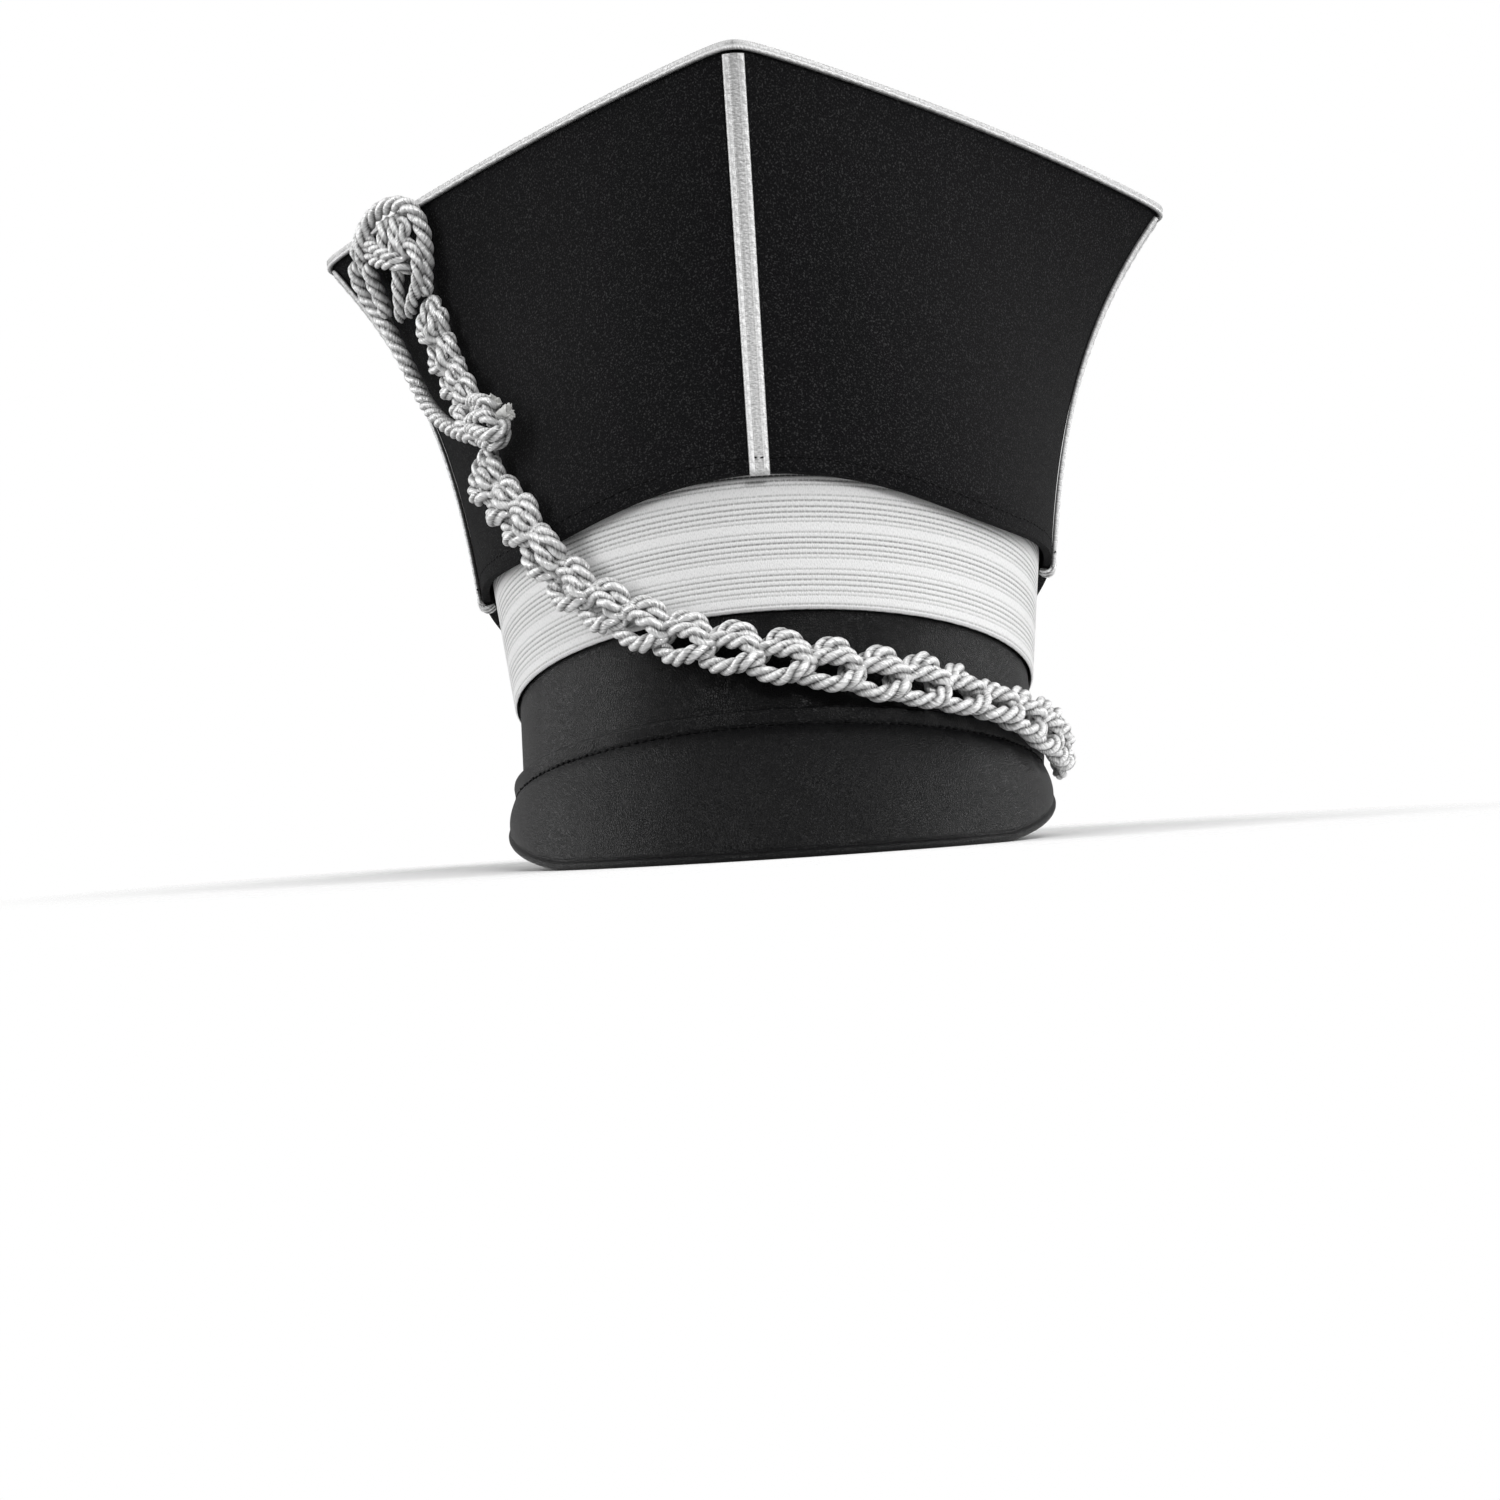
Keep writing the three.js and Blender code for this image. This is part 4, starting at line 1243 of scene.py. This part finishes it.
def peak_surface(angle, kind, level, inner, raised):
    out = SEAM if inner else PEAK_OUT
    reach = peak_reach(out, angle, peak_flare(angle))
    bead_top = reach - BEAD_WIDTH
    if kind == "fold":
        down = level - PEAK_COLLAR
    elif kind == "body":
        down = level * bead_top
    else:
        down = bead_top + level
    return stand(*peak_point(out, angle, down, raised))


def peak_grid(u, v):
    kind, level, inner, raised = PEAK_SECTION[round(v * (len(PEAK_SECTION) - 1))]
    swing = 2 * u - 1
    angle = math.radians(PEAK_HALF_SPAN) * math.copysign(1 - (1 - abs(swing)) ** PEAK_SPACING, swing)
    return peak_surface(angle, kind, level, inner, raised)


peak = rolled("peak_leather", PEAK_COLUMNS, len(PEAK_SECTION) - 1, peak_grid, LEATHER, closed=True)
# its two ends are closed
bpy.ops.object.select_all(action="DESELECT")
peak.select_set(True)
bpy.context.view_layer.objects.active = peak
bpy.ops.object.mode_set(mode="EDIT")
bpy.ops.mesh.select_all(action="DESELECT")
bpy.ops.mesh.select_mode(type="EDGE")
bpy.ops.mesh.select_non_manifold(extend=False)
bpy.ops.mesh.edge_face_add()
bpy.ops.mesh.select_all(action="SELECT")
bpy.ops.mesh.normals_make_consistent(inside=False)
bpy.ops.object.mode_set(mode="OBJECT")
stands_for(peak, "leather", "peak")


# The light grey strip that paints a thin highlight under the peak's bead, in degrees from the front and in
# mm: it starts this far down the bead, shows this much below it, and lies this deep in the peak.
HIGHLIGHT_START = 48
HIGHLIGHT_END = 90
HIGHLIGHT_TOP = 2.0
HIGHLIGHT_SHOWS = 0.7
HIGHLIGHT_INSIDE = 0.7
HIGHLIGHT_THICKNESS = 0.5
HIGHLIGHT_GRID = (60, 6)


def painted_highlight_point(hand):
    """The painted highlight under one rising end of the peak: a light grey strip that shows a little below
    the bead.
    """
    def place(u, v):
        angle = hand * math.radians(HIGHLIGHT_START + (HIGHLIGHT_END - HIGHLIGHT_START) * u)
        shows = HIGHLIGHT_SHOWS * math.sin(math.pi * u) ** 0.5
        drop = HIGHLIGHT_TOP + (BEAD_WIDTH - HIGHLIGHT_TOP + shows) * v
        return peak_surface(angle, "bead", drop, 1.0, HIGHLIGHT_INSIDE)
    return place


# the painted highlight strips, one under each rising end of the peak
for hand, side_name in ((-1, "left"), (1, "right")):
    highlight_strip = rolled("peak_painted_highlight_" + side_name, *HIGHLIGHT_GRID, painted_highlight_point(hand), PAINTED_HIGHLIGHT)
    finish_modifier(highlight_strip, "SOLIDIFY", thickness=HIGHLIGHT_THICKNESS * MM, offset=0.0)
    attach(highlight_strip, "root")


def stitches(name, seats, length, radius, material):
    """Small sunk lengths of thread, each with its middle, its direction and the way out, as one mesh."""
    build = bmesh.new()
    for middle, direction, out in seats:
        along = direction.normalized()
        up = (out - along * out.dot(along)).normalized()
        side = along.cross(up)
        turn = Matrix((along, side, up)).transposed().to_4x4()
        stretch = Matrix.Diagonal((length / 2 * MM, radius * MM, radius * MM, 1))
        bmesh.ops.create_uvsphere(build, u_segments=8, v_segments=6, radius=1.0,
                                  matrix=Matrix.Translation(middle) @ turn @ stretch)
    for face in build.faces:
        face.smooth = True
    return finished(name, build, material)


# The peak's stitches lie sunk in their groove, slant a little, and wander along it.
PEAK_STITCHES = 96
PEAK_STITCH_MARGIN = 2
PEAK_STITCH_LENGTH = 2.3
PEAK_STITCH_RADIUS = 0.48
PEAK_STITCH_WANDER = 0.25
PEAK_STITCH_SLANT = 0.1
PEAK_STITCH_LEVELS = (-0.3, -0.15)
AHEAD = 0.01
peak_seats = []
for index in range(PEAK_STITCHES):
    angle = math.radians(PEAK_HALF_SPAN - PEAK_STITCH_MARGIN) * (2 * (index + 0.5) / PEAK_STITCHES - 1)
    row = PEAK_COLLAR + random.uniform(-PEAK_STITCH_WANDER, PEAK_STITCH_WANDER)
    slant = random.uniform(-PEAK_STITCH_SLANT, PEAK_STITCH_SLANT)
    middle = peak_surface(angle, "fold", row, 0.0, PEAK_STITCH_LEVELS[0])
    ahead = peak_surface(angle + AHEAD, "fold", row + slant, 0.0, PEAK_STITCH_LEVELS[1])
    above = peak_surface(angle, "fold", row, 0.0, 1.0)
    peak_seats.append((middle, ahead - middle, above - middle))
peak_thread = stitches("peak_stitches", peak_seats, PEAK_STITCH_LENGTH, PEAK_STITCH_RADIUS, THREAD)
stands_for(peak_thread, "leather")

# The stitch line that holds the crown to the band: its threads cross the ridge braid as well.
FELT_STITCHES = 210
FELT_STITCH_HEIGHT = 4.4
FELT_STITCH_WANDER = 0.2
FELT_STITCH_LENGTH = 2.2
FELT_STITCH_RADIUS = 0.28
FELT_STITCH_SUNK = -0.02
FELT_STITCH_OVER_BRAID = 1.2
PANEL_BOTTOM_WIDTH = 150
felt_seats = []
for index in range(FELT_STITCHES):
    place = 4 * (index + 0.5) / FELT_STITCHES
    height = FELT_STITCH_HEIGHT + random.uniform(-FELT_STITCH_WANDER, FELT_STITCH_WANDER)
    share = height / CROWN_HEIGHT
    from_ridge = abs(place - round(place)) * PANEL_BOTTOM_WIDTH
    lift = FELT_STITCH_SUNK if from_ridge > TRIM_WIDTH / 2 else FELT_STITCH_OVER_BRAID
    out = crown_normal(place, share)
    middle = crown_point(place, share) + out * lift
    ahead = crown_point(place + AHEAD, share) - crown_point(place, share)
    seat = stand(*middle)
    felt_seats.append((seat, stand(*(middle + ahead)) - seat, stand(*(middle + out)) - seat))
felt_thread = stitches("crown_stitches", felt_seats, FELT_STITCH_LENGTH, FELT_STITCH_RADIUS, THREAD)
stands_for(felt_thread, "felt")


# Floor, backdrop and soft studio light. The paper melts into the backdrop between these two distances from
# the middle of the cap, in metres.
FLOOR_SIZE = 4
MELT_START = 0.15
MELT_END = 0.28
bpy.ops.object.select_all(action="DESELECT")
bpy.ops.mesh.primitive_plane_add(size=FLOOR_SIZE, location=(0, 0, 0))
floor = bpy.context.object
floor.name = "studio_floor"
paper, paper_tree, paper_shader = start_material("white_studio_paper")
feed(paper_tree, paper_shader, {"Base Color": linear("f4f4f4"), "Roughness": 0.9})
paper_place = node(paper_tree, "ShaderNodeTexCoord").outputs["Object"]
from_cap = node(paper_tree, "ShaderNodeVectorMath", {0: paper_place}, operation="LENGTH")
far = node(paper_tree, "ShaderNodeMapRange", {
    "Value": from_cap.outputs["Value"], "From Min": MELT_START, "From Max": MELT_END,
})
melting = node(paper_tree, "ShaderNodeMixShader", {
    0: far.outputs["Result"], 1: paper_shader.outputs["BSDF"],
    2: node(paper_tree, "ShaderNodeBsdfTransparent").outputs["BSDF"],
})
paper_tree.links.new(melting.outputs["Shader"], paper_tree.nodes["Material Output"].inputs["Surface"])
floor.data.materials.append(paper)

world = bpy.data.worlds.new("studio")
world.use_nodes = True
sky = world.node_tree
# the backdrop is bright to the eye, and lights the cap only softly
eye = node(sky, "ShaderNodeLightPath").outputs["Is Camera Ray"]
strength = node(sky, "ShaderNodeMapRange", {"Value": eye, "To Min": 0.27, "To Max": 1.0})
feed(sky, sky.nodes["Background"], {"Color": (1.0, 1.0, 1.0, 1.0), "Strength": strength.outputs["Result"]})
bpy.context.scene.world = world
bpy.context.scene.view_settings.view_transform = "Standard"


def soft_light(name, place, aim_height, size, power):
    """A soft box that faces the middle of the cap at a height; metres and watts."""
    data = bpy.data.lights.new(name, "AREA")
    data.shape = "RECTANGLE"
    data.size, data.size_y = size
    data.energy = power
    light = bpy.data.objects.new(name, data)
    light.location = place
    light.rotation_euler = (Vector((0, 0, aim_height)) - Vector(place)).to_track_quat("-Z", "Y").to_euler()
    bpy.context.scene.collection.objects.link(light)


for hand, side_name in ((-1, "left"), (1, "right")):
    soft_light("key_" + side_name, place=(hand * 1.45, -0.5, 0.7), aim_height=0.12, size=(0.6, 1.3),
               power=13)
    soft_light("rim_" + side_name, place=(hand * 1.2, 0.7, 0.35), aim_height=0.1, size=(0.4, 1.2),
               power=5)
soft_light("top", place=(0, -0.3, 1.6), aim_height=0.1, size=(1.2, 1.0), power=7)
soft_light("front", place=(0.5, -1.6, 0.95), aim_height=0.12, size=(0.5, 0.4), power=12)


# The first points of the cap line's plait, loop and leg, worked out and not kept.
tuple(main_course.line[0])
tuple(loop_course.line[0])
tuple(leg_course.line[0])
